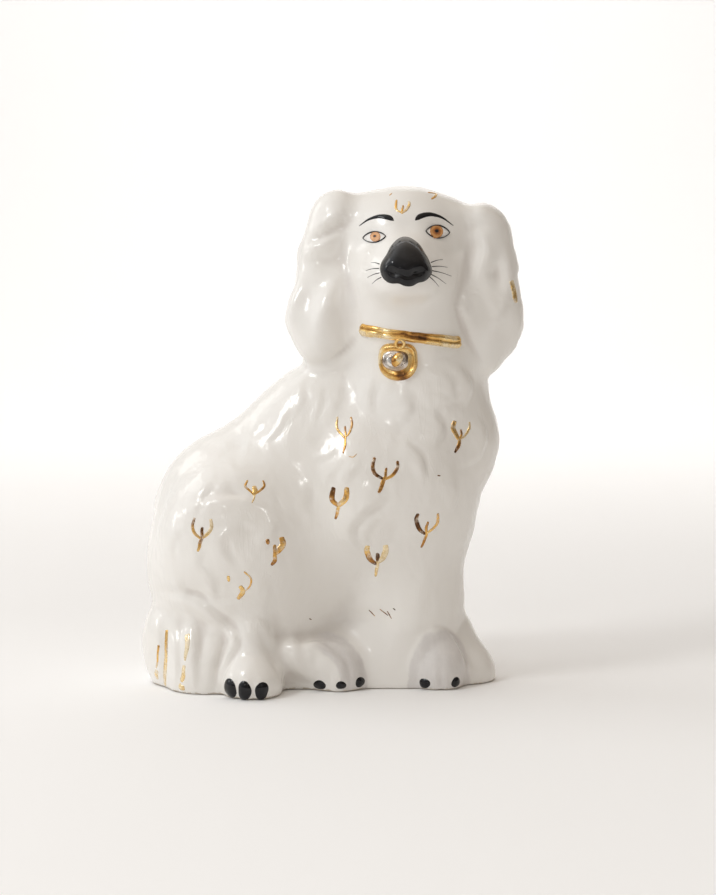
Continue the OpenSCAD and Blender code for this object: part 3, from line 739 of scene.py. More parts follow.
def bare_material():
    """Unglazed earthenware, sanded flat where the figurine stands."""
    nodes = material_nodes("bare_base")
    clay = nodes.ramp(nodes.noise(60, 4, 0.6), (0.3, (0.60, 0.53, 0.44)), (0.7, (0.73, 0.68, 0.60)))
    stain = nodes.ramp(nodes.noise(26, 3, 0.6, warp=1.0), (0.55, 0), (0.75, 1))
    clay = nodes.over(clay, (0.45, 0.37, 0.28), stain, 0.35)
    clay = nodes.over(clay, (0.30, 0.22, 0.16), nodes.specks(520, 0.12), 0.45)
    scratch = nodes.noise(700, 3, 0.7, stretch=(0.15, 1, 1))
    rough = nodes.ramp(scratch, (0.3, 0.72), (0.7, 0.95))
    nodes.set(Base_Color=clay, Roughness=rough, Specular_IOR_Level=0.3)
    nodes.bump((scratch, 0.0001, 0.6), (nodes.noise(2200, 3), 0.00008, 0.7))
    return nodes.owner


# ---- Pieces of the skin ----

def make_piece(name, points, faces, material, node):
    """A smooth mesh piece, in millimetres, that stands for a CAD node."""
    piece = add_mesh(name, np.asarray(points) * MM, faces, material)
    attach(piece, "root")
    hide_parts(node)
    return piece


def add_mesh(name, points, faces, material):
    mesh = bpy.data.meshes.new(name)
    mesh.from_pydata(np.asarray(points).tolist(), [], faces)
    mesh.polygons.foreach_set("use_smooth", [True] * len(mesh.polygons))
    mesh.update()
    mesh.materials.append(material)
    return add_object(name, mesh)


def add_object(name, data):
    thing = bpy.data.objects.new(name, data)
    bpy.context.scene.collection.objects.link(thing)
    return thing


def add_layer(piece, name, values):
    """A number for each vertex of a piece, for its material."""
    layer = piece.data.attributes.new(name, "FLOAT", "POINT")
    layer.data.foreach_set("value", np.asarray(values, float))


def about_vent(places):
    """Which places are in the vent or just round it."""
    return lengths(places[:, :2] - VENT_AT) < VENT_R + 1


def quad_labels(skin, label, origin):
    """The CAD node that each quad of the skin belongs to; what lies flat underneath is the base's."""
    middle = skin.at[skin.quads].mean(axis=1)
    facing = skin.normals()[skin.quads].mean(axis=1)
    cells = ((middle - 0.9 * facing - origin) / CELL).astype(int)
    cells = np.clip(cells, 0, np.array(label.shape) - 1)
    found = label[tuple(cells.T)].astype(int)
    base = CAST.index("base_plate")
    found[(found == base) | (found < 0)] = CAST.index("body_shell")
    under = (facing[:, 2] < -0.6) & (middle[:, 2] < 0.7)
    under |= about_vent(middle) & (middle[:, 2] < VENT_DEPTH + 1)
    for _ in range(6):
        votes = np.zeros((len(skin.at), len(CAST)))
        for n in range(4):
            np.add.at(votes, (skin.quads[:, n], found), 1)
        found = votes[skin.quads].sum(axis=1).argmax(axis=1)
    found[under] = base
    return found


def add_skin_pieces(skin, label, origin, hollow, materials):
    """One closed shell for each cast node, cut from the skin, with the skin's own shading."""
    normal = skin.normals()
    found = quad_labels(skin, label, origin)
    middle = skin.at[skin.quads].mean(axis=1)
    ceiling = about_vent(middle) & (np.abs(middle[:, 2] - VENT_DEPTH - 0.5) < 1)
    for n, node in enumerate(CAST):
        used, local = np.unique(skin.quads[(found == n) & ~ceiling], return_inverse=True)
        local = local.reshape(-1, 4)
        outer = skin.at[used]
        inner = outer + [0, 0, SHELL] if node == "base_plate" else outer - normal[used] * SHELL
        count = len(used)
        edges = np.concatenate([local[:, [k, (k + 1) % 4]] for k in range(4)])
        keys, twins = edges @ [count, 1], edges @ [1, count]
        a, b = edges[~np.isin(keys, twins)].T
        rim = np.stack([b, a, a + count, b + count], axis=1)
        faces = np.concatenate([local, local[:, ::-1] + count, rim])
        rim_way = np.cross(outer[b] - outer[a], normal[used][a])
        rim_way /= np.maximum(lengths(rim_way), 1e-9)[:, None]
        slot = "bare_base" if node == "base_plate" else "white_glaze"
        piece = make_piece(node + "_skin", np.concatenate([outer, inner]), faces.tolist(), materials[slot],
                           node)
        piece.data.normals_split_custom_set(np.concatenate([
            normal[used][local].reshape(-1, 3), -normal[used][local[:, ::-1]].reshape(-1, 3),
            np.repeat(rim_way, 4, axis=0)]).tolist())
        for key, values in (("hollow", hollow[used]), ("coat", coat_weight(outer))):
            add_layer(piece, key, np.concatenate([values, values]))


def hollowness(skin, rounds=14):
    """0 on ridges and flats, rising to 1 in the hollows of the skin."""
    mean = skin.at.copy()
    for _ in range(rounds):
        mean = skin.spread(mean)
    return rising(dots(mean - skin.at, skin.normals()), 0, 0.45)


# ---- Painted and applied decoration, laid on the finished skin ----

class Surface:
    """The finished skin, asked for places by their x and z on the display side."""

    def __init__(self, skin):
        self.tree = skin.tree()
        self.normals = skin.normals()
        self.quads = skin.quads
        self.at = skin.at

    def found(self, hit, face):
        """A place on the skin, and its normal, blended between the corners of its face."""
        hit = np.array(hit)
        corners = self.quads[face]
        weight = 1 / (lengths(self.at[corners] - hit) + 0.05)
        normal = (weight[:, None] * self.normals[corners]).sum(axis=0)
        return hit, normal / np.linalg.norm(normal)

    def front(self, x, z):
        hit, _, face, _ = self.tree.ray_cast(Vector((x, FAR_FRONT, z)), Vector((0, 1, 0)))
        return self.nearest((x, -15, z)) if hit is None else self.found(hit, face)

    def nearest(self, point):
        hit, _, face, _ = self.tree.find_nearest(Vector(point))
        return self.found(hit, face)


class Relief:
    """Gathers raised shapes on the skin into one closed mesh each, all in one piece."""

    SUNK = 0.12   # how far each shape reaches under the glaze
    ACROSS = 7    # places across a stroke

    def __init__(self, surface):
        self.surface = surface
        self.points = []
        self.faces = []
        self.fired = []

    def grid(self, rows, ends=None, fired=UNFIRED):
        """Adds rings of points as a closed mesh, with fans to two end points or joined end to end.

        fired holds a number for each ring or for each of its points, for the gilt."""
        base = len(self.points)
        n, m = len(rows), len(rows[0])
        self.points += [p for row in rows for p in row]
        fired = np.asarray(fired, float)
        self.fired += np.broadcast_to(fired[:, None] if fired.ndim == 1 else fired, (n, m)).ravel().tolist()
        for i in range(n - 1 if ends else n):
            for k in range(m):
                a, b = base + i * m, base + (i + 1) % n * m
                self.faces.append((a + k, a + (k + 1) % m, b + (k + 1) % m, b + k))
        if ends:
            first = len(self.points)
            self.points += list(ends)
            self.fired += [self.fired[base], self.fired[first - 1]]
            for k in range(m):
                l = (k + 1) % m
                self.faces += [(first, base + l, base + k), (first + 1, first - m + k, first - m + l)]

    def stroke(self, marks, width, rise=0.14, step=0.3, wobble=0.0, fired=(UNFIRED, UNFIRED), reach=1.0):
        """A brush stroke through x, z marks; width is a function of the way along, from 0 to 1.

        fired is its tone at either end, and reach is how much of it was painted."""
        flat = smooth_line(marks, step)
        flat = flat[:max(int(math.ceil(len(flat) * reach)), 3)]
        spine = [self.surface.front(x, z) for x, z in flat]
        places = np.array([place for place, _ in spine])
        last = len(spine) - 1
        rows = []
        for n, (place, normal) in enumerate(spine):
            side = np.cross(normal, places[min(n + 1, last)] - places[max(n - 1, 0)])
            side /= max(np.linalg.norm(side), 1e-9)
            t = n / last
            half = width(t) / 2
            shift = wobble * math.sin(7.3 * t + marks[0][0]) * half
            row, under = [], []
            for u in np.linspace(-1, 1, self.ACROSS):
                foot, up = self.surface.nearest(place + side * (half * u + shift))
                row.append(foot + up * rise * max(1 - u ** 4, 0) * (0.75 + 0.25 * math.sin(math.pi * t)))
                under.append(foot - up * self.SUNK)
            rows.append(row + under[::-1])
        ends = []
        for tip, before in ((places[0], places[1]), (places[-1], places[-2])):
            foot, up = self.surface.nearest(tip + (tip - before) / 2)
            ends.append(foot + up * rise * 0.2)
        self.grid(rows, ends, np.linspace(*fired, len(rows)))

    def patch(self, centre, outline, height, rings=6, spokes=40, lift=0.0, fired=lambda f, a: UNFIRED):
        """A shape about an x, z centre; outline(a) is its reach, height(f, a) how proud it stands."""
        def place(f, a, low):
            r = outline(a) * f
            foot, up = self.surface.front(centre[0] + r * math.cos(a), centre[1] + r * math.sin(a))
            return foot + up * (lift - self.SUNK if low else lift + height(f, a))

        def ring(f, low):
            return [place(f, a, low) for a in turns]

        turns = [TAU * k / spokes for k in range(spokes)]
        levels = [math.sin(math.pi / 2 * (i + 1) / rings) for i in range(rings)]
        under, over = levels[::2] + [1.0], levels[::-1]
        rows = [ring(f, True) for f in under] + [ring(f, False) for f in over]
        tones = [[fired(f, a) for a in turns] for f in under + over]
        self.grid(rows, (place(0, 0, True), place(0, 0, False)), tones)

    def piece(self, name, material, node, slot):
        points = np.clip(self.points, BOX_LOW, BOX_HIGH)
        piece = make_piece(name, points, self.faces, material, node)
        mesh = bmesh.new()
        mesh.from_mesh(piece.data)
        bmesh.ops.recalc_face_normals(mesh, faces=mesh.faces)
        mesh.to_mesh(piece.data)
        mesh.free()
        if slot in ("gilt", "amber_enamel"):
            add_layer(piece, "fired", self.fired)


def oval(rx, rz, lean=0.0):
    lean = math.radians(lean)
    return lambda a: rx * rz / math.hypot(rz * math.cos(a - lean), rx * math.sin(a - lean))


def turned(points, centre, lean):
    """Offsets from a centre, leant by an angle in degrees."""
    c, s = math.cos(math.radians(lean)), math.sin(math.radians(lean))
    return [(centre[0] + x * c + z * s, centre[1] + z * c - x * s) for x, z in points]


GILT_RISE = 0.13  # how proud a stroke of gilt stands
# Each tuft of gilt hairs: x, z, size, lean, then its left, right and middle hairs and its stem.
# A hair is its width, its tone at the tip and at the foot, and how much of it was painted if not all.
COAT_TUFTS = [
    (3.7, 71.7, (0.78, 1.1), -3, (0.75, 0.9, 0.3), (0.75, 0.35, 0.5), (0.6, 0.3, 0.4), (0.75, 0.45, 0.2)),
    (35.6, 70.9, (0.88, 0.98), 8, (1.6, 0.7, 0.5), (0.8, 0.95, 0.7), (0.8, 0.3, 0.5), (1.2, 0.6, 0.0)),
    (14.5, 60.7, (1.3, 1.04), 6, (1.1, 0.2, 0.1), (1.0, 0.1, 0.6), (0.8, 0.3, 0.4), (1.2, 0.5, 0.3)),
    (2.0, 53.1, (0.80, 1.04), 4, (1.7, 0.1, 0.5), (1.8, 0.6, 0.55), None, (1.1, 0.9, 0.4)),
    (26.1, 45.3, (1.14, 1.14), 5, (1.3, 0.1, 0.0), (1.0, 0.5, 0.75), (0.9, 0.35, 0.4), (0.9, 0.5, 0.2)),
    (12.6, 36.8, (1.02, 1.04), -3, (1.7, 0.8, 0.0), (1.9, 0.95, 0.9), (1.2, 0.0, 0.0, 0.8), (1.0, 0.9, 0.85)),
    (-21.0, 56.3, (0.93, 0.68), 0, (0.7, 0.5, 0.35), (0.7, 0.4, 0.5), (1.5, 0.6, 0.65), (0.45, 0.8, 0.8)),
    (-35.4, 44.6, (1.02, 1.02), 3, (1.0, 0.05, 0.7), (1.1, 0.95, 0.6), (1.0, 0.05, 0.3), (1.1, 0.15, 0.8)),
    (-15.5, 40.0, (0.88, 0.88), 0, None, (1.9, 0.6, 0.5), (1.1, 0.45, 0.4), (1.3, 0.5, 0.25)),
]
HEAD_TUFTS = [
    (19.4, 133.0, (0.74, 0.70), 4, (0.8, 0.5, 0.8), (0.9, 0.85, 0.75), (0.7, 0.4, 0.7), None),
]
# Loose lines of gilt: marks, width and tones.
FLECKS = [([(10.4, 21.9), (12.0, 20.3)], 0.3, (0.1, 0.3)), ([(13.4, 22.4), (15.6, 20.8)], 0.35, (0.2, 0.1)),
          ([(15.5, 21.9), (16.6, 20.0)], 0.3, (0.1, 0.4)), ([(17.2, 22.8), (17.6, 22.5)], 0.45, (0.05, 0.05)),
          ([(29.3, 60.5), (29.8, 60.4)], 0.45, (0.1, 0.1)), ([(-6.2, 19.7), (-5.8, 19.5)], 0.4, (0.2, 0.2)),
          ([(4.9, 65.9), (6.0, 65.8), (6.9, 66.6)], 0.25, (0.5, 0.5)),
          ([(-17.4, 43.5), (-17.2, 42.2)], 1.2, (0.35, 0.35)),
          ([(-28.1, 33.5), (-28.0, 32.0)], 0.9, (0.7, 0.7)),
          ([(-23.7, 34.7), (-22.0, 32.9), (-22.1, 30.9), (-23.4, 29.3)], 0.55, (0.6, 0.6)),
          ([(-24.9, 30.6), (-24.2, 29.0), (-25.6, 26.9)], 1.4, (0.75, 0.65))]
CROWN_MARKS = [([(26.9, 138.4), (28.2, 138.3), (29.3, 138.1)], 0.8, (0.4, 0.7)),
               ([(29.3, 138.1), (28.7, 137.2), (27.8, 136.5)], 0.8, (0.7, 0.5)),
               ([(16.2, 137.6), (16.6, 138.0)], 0.6, (0.6, 0.6)),
               ([(50.2, 113.8), (51.0, 110.6), (51.4, 107.9)], 2.3, (1.0, 0.85))]
# The marks of a tuft's hairs and stem, from its middle.
TUFT_HAIRS = [
    [(-2.3, 4.2), (-2.6, 2.4), (-1.9, 0.6), (-0.2, -0.9)],
    [(2.4, 4.2), (2.6, 2.3), (1.6, 0.4), (0.0, -0.9)],
    [(0.1, 2.0), (0.15, 0.4), (0.0, -1.2)],
    [(0.1, -0.6), (-0.1, -2.4), (-0.8, -4.4)],
]


def brush(width, heavy=0.35):
    """A hair's width: full where the brush lands, thin where it lifts."""
    return lambda t: width * (0.28 + 0.72 * math.sin(math.pi * min(t * (1 - heavy) + heavy * 0.6, 1)) ** 0.8)


def add_tufts(surface, name, tufts, lines, material, node):
    """Tufts of gilt hairs, and loose lines given by their marks, width and tones."""
    relief = Relief(surface)
    for x, z, size, lean, *hairs in tufts:
        for marks, hair in zip(TUFT_HAIRS, hairs):
            if hair:
                width, tip, foot, reach = (*hair, 1)[:4]
                spread = [((a + rng.uniform(-0.18, 0.18)) * size[0], (b + rng.uniform(-0.25, 0.25)) * size[1])
                          for a, b in marks]
                relief.stroke(turned(spread, (x, z), lean), brush(width * 0.95), GILT_RISE, wobble=0.15,
                              fired=(tip, foot), reach=reach)
    for marks, width, fired in lines:
        relief.stroke(marks, brush(width), GILT_RISE, fired=fired)
    relief.piece(name, material, node, "gilt")


def add_tail_streaks(surface, material):
    """Streaks down the tail: marks, width at the top and at the foot, and tones."""
    relief = Relief(surface)
    streaks = [([(-46.0, 16.6), (-46.2, 11), (-46.5, 5.5), (-46.7, 0.9)], 1.1, 2.3, (0.6, 0.95)),
               ([(-48.5, 12.3), (-48.8, 8), (-49.3, 5.8)], 0.9, 0.9, (0.4, 0.8)),
               ([(-49.2, 5.0), (-49.4, 2.3)], 1.5, 1.8, (0.95, 0.85)),
               ([(-39.7, 16.4), (-40.0, 13), (-40.4, 9.5)], 1.9, 1.2, (0.98, 0.95)),
               ([(-40.6, 8.0), (-41.0, 5.5), (-41.4, 3.4)], 1.2, 1.7, (0.98, 0.9)),
               ([(-42.2, 2.2), (-40.7, 1.3)], 1.7, 1.7, (0.95, 0.85))]
    for marks, top, foot, fired in streaks:
        relief.stroke(marks, lambda t: (top + (foot - top) * t) * (1 - 0.5 * t ** 8), GILT_RISE, wobble=0.2,
                      fired=fired)
    relief.piece("tail_gilding", material, "tail_streaks", "gilt")


def add_claws(surface, material):
    """Black claws: x, z, half width, half height, lean."""
    relief = Relief(surface)
    claws = [(-27.6, 2.9, 1.8, 2.8, 8), (-23.5, 2.7, 1.85, 2.9, 0), (-18.9, 2.6, 1.8, 2.7, -8),
             (-3.4, 1.9, 1.75, 1.4, 0), (2.6, 2.1, 1.45, 1.15, 0), (7.9, 2.4, 1.3, 1.5, -10),
             (25.9, 1.9, 1.5, 1.45, 0), (34.6, 2.1, 1.25, 1.5, -16)]
    for x, z, rx, rz, lean in claws:
        reach = oval(rx, rz, lean)
        relief.patch((x, z), lambda a: reach(a) * (1 + 0.05 * math.sin(3 * a + x)),
                     lambda f, a: 0.55 * (1 - f ** 2.4), 6, 32)
    relief.piece("painted_claws", material, "claws", "black_enamel")


# Each eye: x, z, half width, half height, lean, x of its iris, radius of its iris and pupil, paleness.
EYES = [(11.8, 125.7, 3.1, 1.5, 4, 12.2, 1.42, 0.34, 0.52),
        (29.2, 127.2, 3.35, 1.78, -3, 28.75, 1.84, 0.48, 0.0)]


def lids(half_width, half_height, lean):
    """An almond: two arcs that meet in points."""
    def reach(a):
        a -= math.radians(lean)
        c, s = abs(math.cos(a)), abs(math.sin(a))
        low, high = 0.0, half_width
        for _ in range(24):
            r = (low + high) / 2
            inside = r * c < half_width and r * s < half_height * (1 - (r * c / half_width) ** 2) ** 0.8
            low, high = (r, high) if inside else (low, r)
        return max(low, 0.2)
    return reach


def add_eyes(surface, materials):
    """Painted eyes: a white, an iris and a pupil that each stand prouder, and the lids' outlines."""
    whites, irises, pupils, outlines = (Relief(surface) for _ in range(4))
    for x, z, w, h, lean, iris_x, iris_r, pupil_r, pale in EYES:
        almond = lids(w, h, lean)
        whites.patch((x, z), almond, lambda f, a: 0.34 * (1 - f ** 3) + 0.08, 6, 48)
        irises.patch((iris_x, z), oval(iris_r, min(iris_r, h * 1.02)), lambda f, a: 0.50 - 0.10 * f ** 2,
                     8, 36, fired=lambda f, a: f * (1 - pale) + pale)
        pupils.patch((iris_x - 0.05, z + 0.05), oval(pupil_r * 1.1, pupil_r),
                     lambda f, a: 0.60 - 0.08 * f ** 2, 4, 28)
        edge = [(x + almond(a) * math.cos(a), z + almond(a) * math.sin(a))
                for a in np.linspace(0, TAU, 49) + math.radians(lean)]
        outlines.stroke(edge[:25], lambda t: 0.22 + 0.32 * math.sin(math.pi * t), 0.46, 0.2)
        outlines.stroke(edge[24:], lambda t: 0.26 - 0.08 * math.sin(math.pi * t), 0.40, 0.2)
    for relief, name, node, slot in ((whites, "eyeballs", "eye_whites", "white_enamel"),
                                     (irises, "amber_irises", "irises", "amber_enamel"),
                                     (pupils, "black_pupils", "pupils", "black_enamel"),
                                     (outlines, "painted_lids", "eye_outlines", "black_enamel")):
        relief.piece(name, materials[slot], node, slot)


def add_brows(surface, material):
    relief = Relief(surface)
    brows = [[(7.7, 129.0), (10.2, 130.7), (13.0, 131.5), (15.6, 131.2), (17.1, 130.3)],
             [(33.6, 129.1), (30.6, 131.2), (27.4, 132.1), (24.7, 131.6), (23.0, 130.4)]]
    for marks in brows:
        relief.stroke(marks, lambda t: 0.2 + 1.95 * t ** 1.1 * (1 - t ** 11), 0.14, 0.25)
    relief.piece("painted_brows", material, "brows", "black_enamel")


def add_whiskers(surface, material):
    """Hairlines from the nose: where each leaves it, and its tip."""
    relief = Relief(surface)
    hairs = [((13.0, 118.3), (10.9, 118.7)), ((12.9, 117.1), (9.5, 116.6)), ((13.0, 115.9), (9.9, 114.7)),
             ((13.5, 114.7), (11.2, 113.1)), ((27.0, 118.7), (30.4, 119.6)), ((27.3, 117.6), (31.7, 117.5)),
             ((27.3, 116.5), (32.9, 115.1)), ((27.0, 115.5), (31.3, 113.0)), ((26.6, 114.8), (29.2, 112.3))]
    for (x0, z0), (x1, z1) in hairs:
        bend = (0.5 * (x0 + x1), 0.5 * (z0 + z1) + 0.18)
        relief.stroke([(x0, z0), bend, (x1, z1)], lambda t: 0.29 - 0.17 * t, 0.06, 0.3)
    relief.piece("painted_whiskers", material, "whiskers", "black_enamel")


def bell(a, degrees, spread):
    """A smooth hump in an angle, 1 at its centre."""
    return hump((a - math.radians(degrees) + math.pi) % TAU, math.pi, spread)


def add_nose(surface, material):
    """A big black nose: a blunt triangle with two nostril wings and the lip that hangs below it."""
    reach = 6.5
    # Each swelling of the outline: how far, at which angle in degrees, how broad.
    swells = [(0.5, 90, 0.4), (0.3, 277, 0.3), (-0.5, 248, 0.22), (-0.5, 304, 0.2),
              (0.35, 343, 0.2), (0.2, 52, 0.3), (-0.3, 155, 0.3)]
    # Each swelling of its face: how high, at which angle, how broad, at which part of the reach, how wide.
    reliefs = [(0.45, 200, 0.55, 0.55, 0.25), (0.45, 338, 0.55, 0.55, 0.25),  # wings
               (-1.0, 222, 0.3, 0.56, 0.11), (-1.0, 316, 0.3, 0.56, 0.11),    # nostrils
               (-0.85, 270, 0.8, 0.58, 0.11),                                 # the crease between them
               (0.3, 160, 0.7, 0.45, 0.22),                                   # flank
               (0.25, 90, 0.5, 0.6, 0.25)]                                    # bridge

    def outline(a):
        swelling = sum(size * bell(a, degrees, spread) for size, degrees, spread in swells)
        return reach + 0.15 * math.cos(2 * a) - 0.6 * math.sin(3 * a) + swelling

    def height(f, a):
        high = 2.2 * (1 - (f * (outline(a) / reach) ** (1 - f)) ** 2.2)
        high += sum(size * bell(a, degrees, spread) * hump(f, middle, wide)
                    for size, degrees, spread, middle, wide in reliefs)
        return max(high, 0.05)

    relief = Relief(surface)
    relief.patch((20.1, 118.3), outline, height, 26, 120)
    relief.piece("black_nose", material, "nose", "black_enamel")


LOCK_AT = (18.3, 91.6)
LOCK_REACH = (5.4, 5.15)  # half its width and half its height


def add_padlock(surface, materials):
    """A gilt lock with a flat top and a round foot, its silver plate, and the gilt bead on the plate."""
    body, plate, bead = (Relief(surface) for _ in range(3))

    def shield(a, rx, rz, square=1.6):
        n = 2.15 + square * max(math.sin(a), 0) ** 0.5
        return (abs(math.cos(a) / rx) ** n + abs(math.sin(a) / rz) ** n) ** (-1 / n)

    def coin(f, a):
        return (1.0 + 0.55 * hump(f, 0.88, 0.08)) * (1 - f ** 16) + 0.07 * math.sin(5 * a + 1) * (f > 0.5)

    # Painted light on the lock's gilt: a painted highlight on its left, painted shade at its foot and in the
    # ring inside its rim.
    def painted_lock_shading(f, a):
        return 0.72 + 0.25 * bell(a, 170, 0.6) - 0.5 * bell(a, 285, 0.35) - 0.3 * hump(f, 0.76, 0.05)

    body.patch(LOCK_AT, lambda a: shield(a, *LOCK_REACH), coin, 26, 110, fired=painted_lock_shading)
    body.piece("gilt_padlock", materials["gilt"], "padlock_body", "gilt")
    plate.patch((LOCK_AT[0] - 0.6, LOCK_AT[1] + 0.3), lambda a: shield(a, 3.6, 3.05, 0.6),
                lambda f, a: 0.9 * (1 - f ** 4) - 0.28 * hump(f, 0.62, 0.09), 20, 80, lift=0.9)
    plate.piece("silver_plate", materials["silver_lustre"], "padlock_plate", "silver_lustre")
    bead.patch((LOCK_AT[0] - 0.05, LOCK_AT[1] + 0.35),
               lambda a: oval(1.35, 2.25, -20)(a) * (1 + 0.10 * math.sin(a)),
               lambda f, a: 1.0 * (1 - f * f) ** 0.7, 12, 44, lift=1.7,
               fired=lambda f, a: 0.55 + 0.4 * math.cos(a))
    bead.piece("gilt_bead", materials["gilt"], "keyhole_bead", "gilt")
    add_bow(surface, materials["gilt"])


def add_bow(surface, material):
    """The little ring that the padlock hangs by."""
    ring_r, wire_r = 1.15, 0.42
    place, normal = surface.front(18.9, 97.0)
    place = place + normal * 1.25
    up = np.array([0.0, 0.0, 1.0]) - normal * normal[2]
    up /= np.linalg.norm(up)
    side = np.cross(up, normal)
    rows = []
    for a in TAU * np.arange(40) / 40:
        out = side * math.cos(a) + up * math.sin(a)
        wire = wire_r * (1 + 0.12 * math.sin(3 * a))
        rows.append([place + out * ring_r + (out * math.cos(b) + normal * math.sin(b)) * wire
                     for b in TAU * np.arange(14) / 14])
    relief = Relief(surface)
    relief.grid(rows)
    relief.piece("padlock_bow", material, "padlock_ring", "gilt")


COLLAR_SHOWN = (8.6, 35.0)  # between the ears, in front
COLLAR_AT = np.array([20.9, 2.07, 98.7])
COLLAR_TURNS = 300


def collar_reach(surface, cad, ways):
    """How far the collar's foot is from its centre, each way: on the skin, or under an ear as in the CAD."""
    along, back, turn = ways
    local = cad - COLLAR_AT
    cad_turn = np.arctan2(dots(local, back), dots(local, along))
    cad_reach = np.hypot(dots(local, back), dots(local, along))
    reach = []
    for a in turn:
        way = along * math.cos(a) + back * math.sin(a)
        off = np.abs((cad_turn - a + math.pi) % TAU - math.pi)
        own = cad_reach[off < 0.12].mean() - 0.5
        hit, _, _, _ = surface.tree.ray_cast(Vector(COLLAR_AT + way * 60), Vector(-way))
        skin = (np.array(hit) - COLLAR_AT) @ way if hit is not None else own
        reach.append(skin if skin < own + 1.6 else own)
    reach = np.array(reach)
    for _ in range(6):
        reach = (np.roll(reach, 1) + reach + np.roll(reach, -1)) / 3
    return reach


def add_collar(surface, material):
    """A modelled and gilded band round the neck; it runs under the ears where the CAD's collar does."""
    cad = node_triangles("collar").reshape(-1, 3)
    tilt = math.radians(frame_tilt(cad))
    along = np.array([math.cos(tilt), 0.0, -math.sin(tilt)])
    up = np.array([math.sin(tilt), 0.0, math.cos(tilt)])
    back = np.array([0.0, 1.0, 0.0])
    turn = TAU * np.arange(COLLAR_TURNS) / COLLAR_TURNS
    reach = collar_reach(surface, cad, (along, back, turn))
    across_x = COLLAR_AT[0] + reach * np.cos(turn) * along[0]
    past = np.maximum(COLLAR_SHOWN[0] - across_x, across_x - COLLAR_SHOWN[1])
    shown = np.where(np.sin(turn) < 0.25, rising(past, 1.5, -1.5), 1) ** 0.5
    waves = [(rng.uniform(0, 6.3), n, rng.uniform(0.4, 1) / math.sqrt(n)) for n in (5, 8, 13, 19, 27, 34)]

    def wave(a, shift):
        return sum(size * math.sin(n * a + start + shift * (1 + n % 3)) for start, n, size in waves)

    rows, tones = [], []
    for a, x, foot, show in zip(turn, across_x, reach, shown):
        way = along * math.cos(a) + back * math.sin(a)
        row, tone = [], []
        wide = (3.1 + 0.8 * rising(x, 16, -8) + 0.4 * rising(x, 26, 6)) * show
        sunk = 2.2 * (1 - show)
        valley = 0.04 + 0.12 * wave(a, 0.5)
        for across in np.linspace(-0.5, 0.5, 15):
            edge = 0.2 * wave(a, 0.3 * across) * abs(2 * across)
            proud = 1.2 * (1 - abs(2 * across) ** 2.2) ** 0.7 * (1 + 0.26 * wave(a, 0.3 * across + 1))
            proud -= 0.4 * hump(across, valley, 0.17) * (1 + 0.5 * wave(a, 3.0))
            row.append(COLLAR_AT + way * (foot - sunk + max(proud, 0)) + up * (across * wide + edge))
            # Painted shade on the gilt: darker under the chin in the band's middle and upper half, near its
            # left-hand end under the ear, and along its valley.
            dark = hump(x, 23.5, 4.5) * (1.0 if across > -0.25 else 0.35)
            dark += 0.5 * hump(x, 10.5, 2.5) * (across > 0) + 0.4 * hump(across, valley, 0.11)
            tone.append(0.88 - 0.75 * dark + 0.12 * wave(a, across + 2))
        rows.append(row + [row[-1] - way * 1.2, row[0] - way * 1.2])
        tones.append(tone + [tone[-1], tone[0]])
    relief = Relief(surface)
    relief.grid(rows, fired=tones)
    relief.piece("gilt_collar", material, "collar", "gilt")


def frame_tilt(points):
    """How steeply a band's middle plane falls towards +X, in degrees."""
    left = points[points[:, 0] < np.quantile(points[:, 0], 0.03)]
    right = points[points[:, 0] > np.quantile(points[:, 0], 0.97)]
    drop = left[:, 2].mean() - right[:, 2].mean()
    return math.degrees(math.atan2(drop, right[:, 0].mean() - left[:, 0].mean()))


# ---- The studio ----

def add_world():
    """Soft daylight: bright and cool from above and the left, dimmer and warm from the right."""
    world = bpy.data.worlds.new("studio")
    bpy.context.scene.world = world
    nodes = Nodes(world, "Generated")
    x, y, z = (nodes.part(axis) for axis in "XYZ")
    strength = nodes.times(nodes.map(x, -0.7, 0.7, 1.24, 0.33), nodes.map(z, -0.1, 0.95, 0.38, 1.14))
    strength = nodes.times(strength, nodes.map(y, -0.9, -0.25, 0.50, 1.0))
    tint = nodes.mix(nodes.map(x, -0.75, 0.25), (0.97, 1.0, 1.03), (1.0, 0.87, 0.735))
    nodes.set(Strength=strength, Color=tint)


# Each lamp: name, place, what it aims at, size and watts; lengths in metres, and its colour.
LAMPS = [
    ("key", (-0.46, -0.34, 0.56), (0.0, 0.0, 0.075), 0.17, 1.16, (0.99, 1.0, 1.0)),
    ("window", (-0.16, -0.62, 0.30), (0.0, 0.0, 0.075), 0.05, 0.12, (1.0, 0.99, 0.98)),
    ("side", (-0.55, 0.02, 0.22), (0.0, 0.0, 0.10), 0.06, 0.10, (1.0, 0.99, 0.98)),
    ("rim", (-0.45, 0.22, 0.40), (0.0, 0.0, 0.075), 0.22, 0.20, (1.0, 0.98, 0.95)),
    ("glint", (0.30, -0.55, 0.34), (0.0, 0.0, 0.075), 0.04, 0.06, (1.0, 0.99, 0.98)),
    ("fill", (0.30, -0.62, 0.10), (0.01, 0.0, 0.02), 0.4, 0.13, (1.0, 0.96, 0.91)),
    ("backdrop", (0.0, 0.6, 1.2), (0.0, 1.6, 0.8), 0.8, 9.5, (1.0, 0.99, 0.98)),
]


def aim(thing, place, target):
    thing.location = place
    thing.rotation_euler = (Vector(target) - Vector(place)).to_track_quat("-Z", "Y").to_euler()


def add_lamps():
    for name, place, target, size, watts, colour in LAMPS:
        lamp = bpy.data.lights.new(name, "AREA")
        lamp.shape = "SQUARE"
        lamp.size = size
        lamp.energy = watts
        lamp.color = colour
        aim(add_object(name, lamp), place, target)


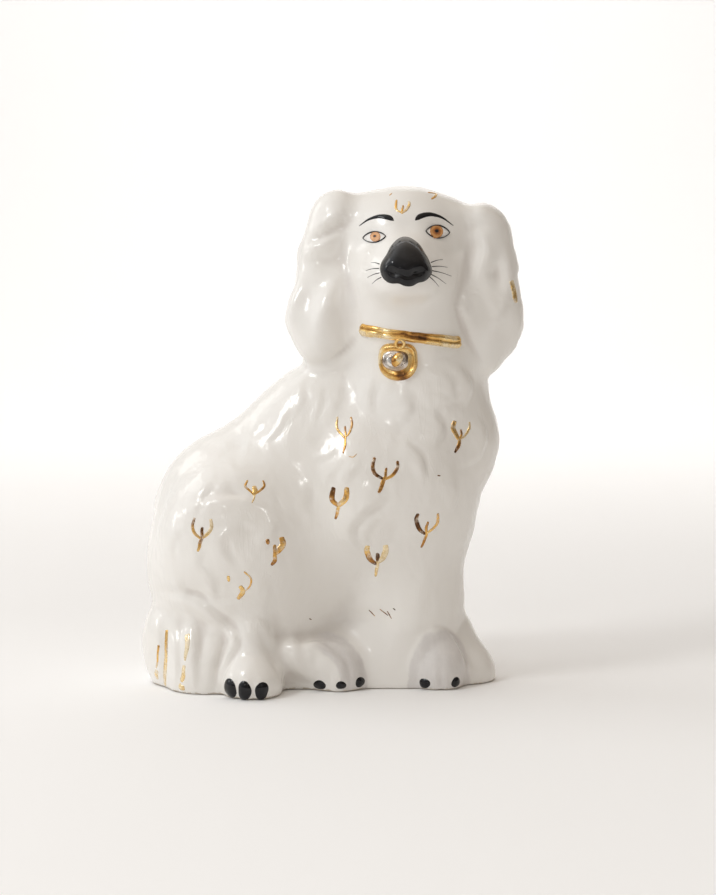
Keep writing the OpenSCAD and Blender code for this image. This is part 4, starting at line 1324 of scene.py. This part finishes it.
def add_floor():
    """A white paper sweep: flat under the figurine, bent up behind it. Lengths are in metres."""
    half, rise, bend, steps, front, back = 2.5, 1.6, 0.5, 16, -2.0, 1.0
    turns = np.linspace(0, math.pi / 2, steps)
    curve = [(back + bend * math.sin(t), bend * (1 - math.cos(t))) for t in turns]
    line = [(front, 0.0)] + curve + [(back + bend, rise)]
    points = [(x, y, z) for y, z in line for x in (-half, half)]
    faces = [(2 * n, 2 * n + 1, 2 * n + 3, 2 * n + 2) for n in range(len(line) - 1)]
    nodes = material_nodes("paper")
    paper = nodes.ramp(nodes.noise(3, 2), (0.3, 0.965), (0.7, 0.98))
    nodes.set(Base_Color=paper, Roughness=0.95, Specular_IOR_Level=0.1)
    add_mesh("floor", points, faces, nodes.owner)


def add_camera():
    camera = bpy.data.cameras.new("camera")
    camera.lens = 78
    camera.sensor_width = 36
    camera.clip_start = 0.02
    bpy.context.scene.camera = add_object("camera", camera)
    aim(bpy.context.scene.camera, (0.0073, -0.548, 0.112), (0.0073, 0.002, 0.0666))


# ---- Making the scene ----

add_camera()
add_world()
add_lamps()
add_floor()
bpy.context.scene.view_settings.view_transform = "Standard"

materials = {
    "white_glaze": glaze_material(),
    "bare_base": bare_material(),
    "gilt": gilt_material("gilt"),
    "worn_gilt": gilt_material("worn_gilt", 0.75),
    "silver_lustre": lustre_material(),
    "black_enamel": enamel_material("black_enamel", (0.003, 0.003, 0.004), (0.010, 0.010, 0.012), ior=1.42),
    "white_enamel": enamel_material("white_enamel", (0.80, 0.77, 0.73), (0.90, 0.88, 0.85), (0.06, 0.14)),
    "amber_enamel": iris_material(),
}
skin, label, origin = cast_skin()
skin.smooth(8)
skin.fill(60, crease_weight(skin.at))
sculpt_coat(skin)
add_skin_pieces(skin, label, origin, hollowness(skin), materials)

surface = Surface(skin)
add_collar(surface, materials["gilt"])
add_padlock(surface, materials)
add_nose(surface, materials["black_enamel"])
add_eyes(surface, materials)
add_brows(surface, materials["black_enamel"])
add_whiskers(surface, materials["black_enamel"])
add_claws(surface, materials["black_enamel"])
add_tufts(surface, "coat_gilding", COAT_TUFTS, FLECKS, materials["worn_gilt"], "coat_marks")
add_tufts(surface, "head_gilding", HEAD_TUFTS, CROWN_MARKS, materials["worn_gilt"], "head_marks")
add_tail_streaks(surface, materials["worn_gilt"])
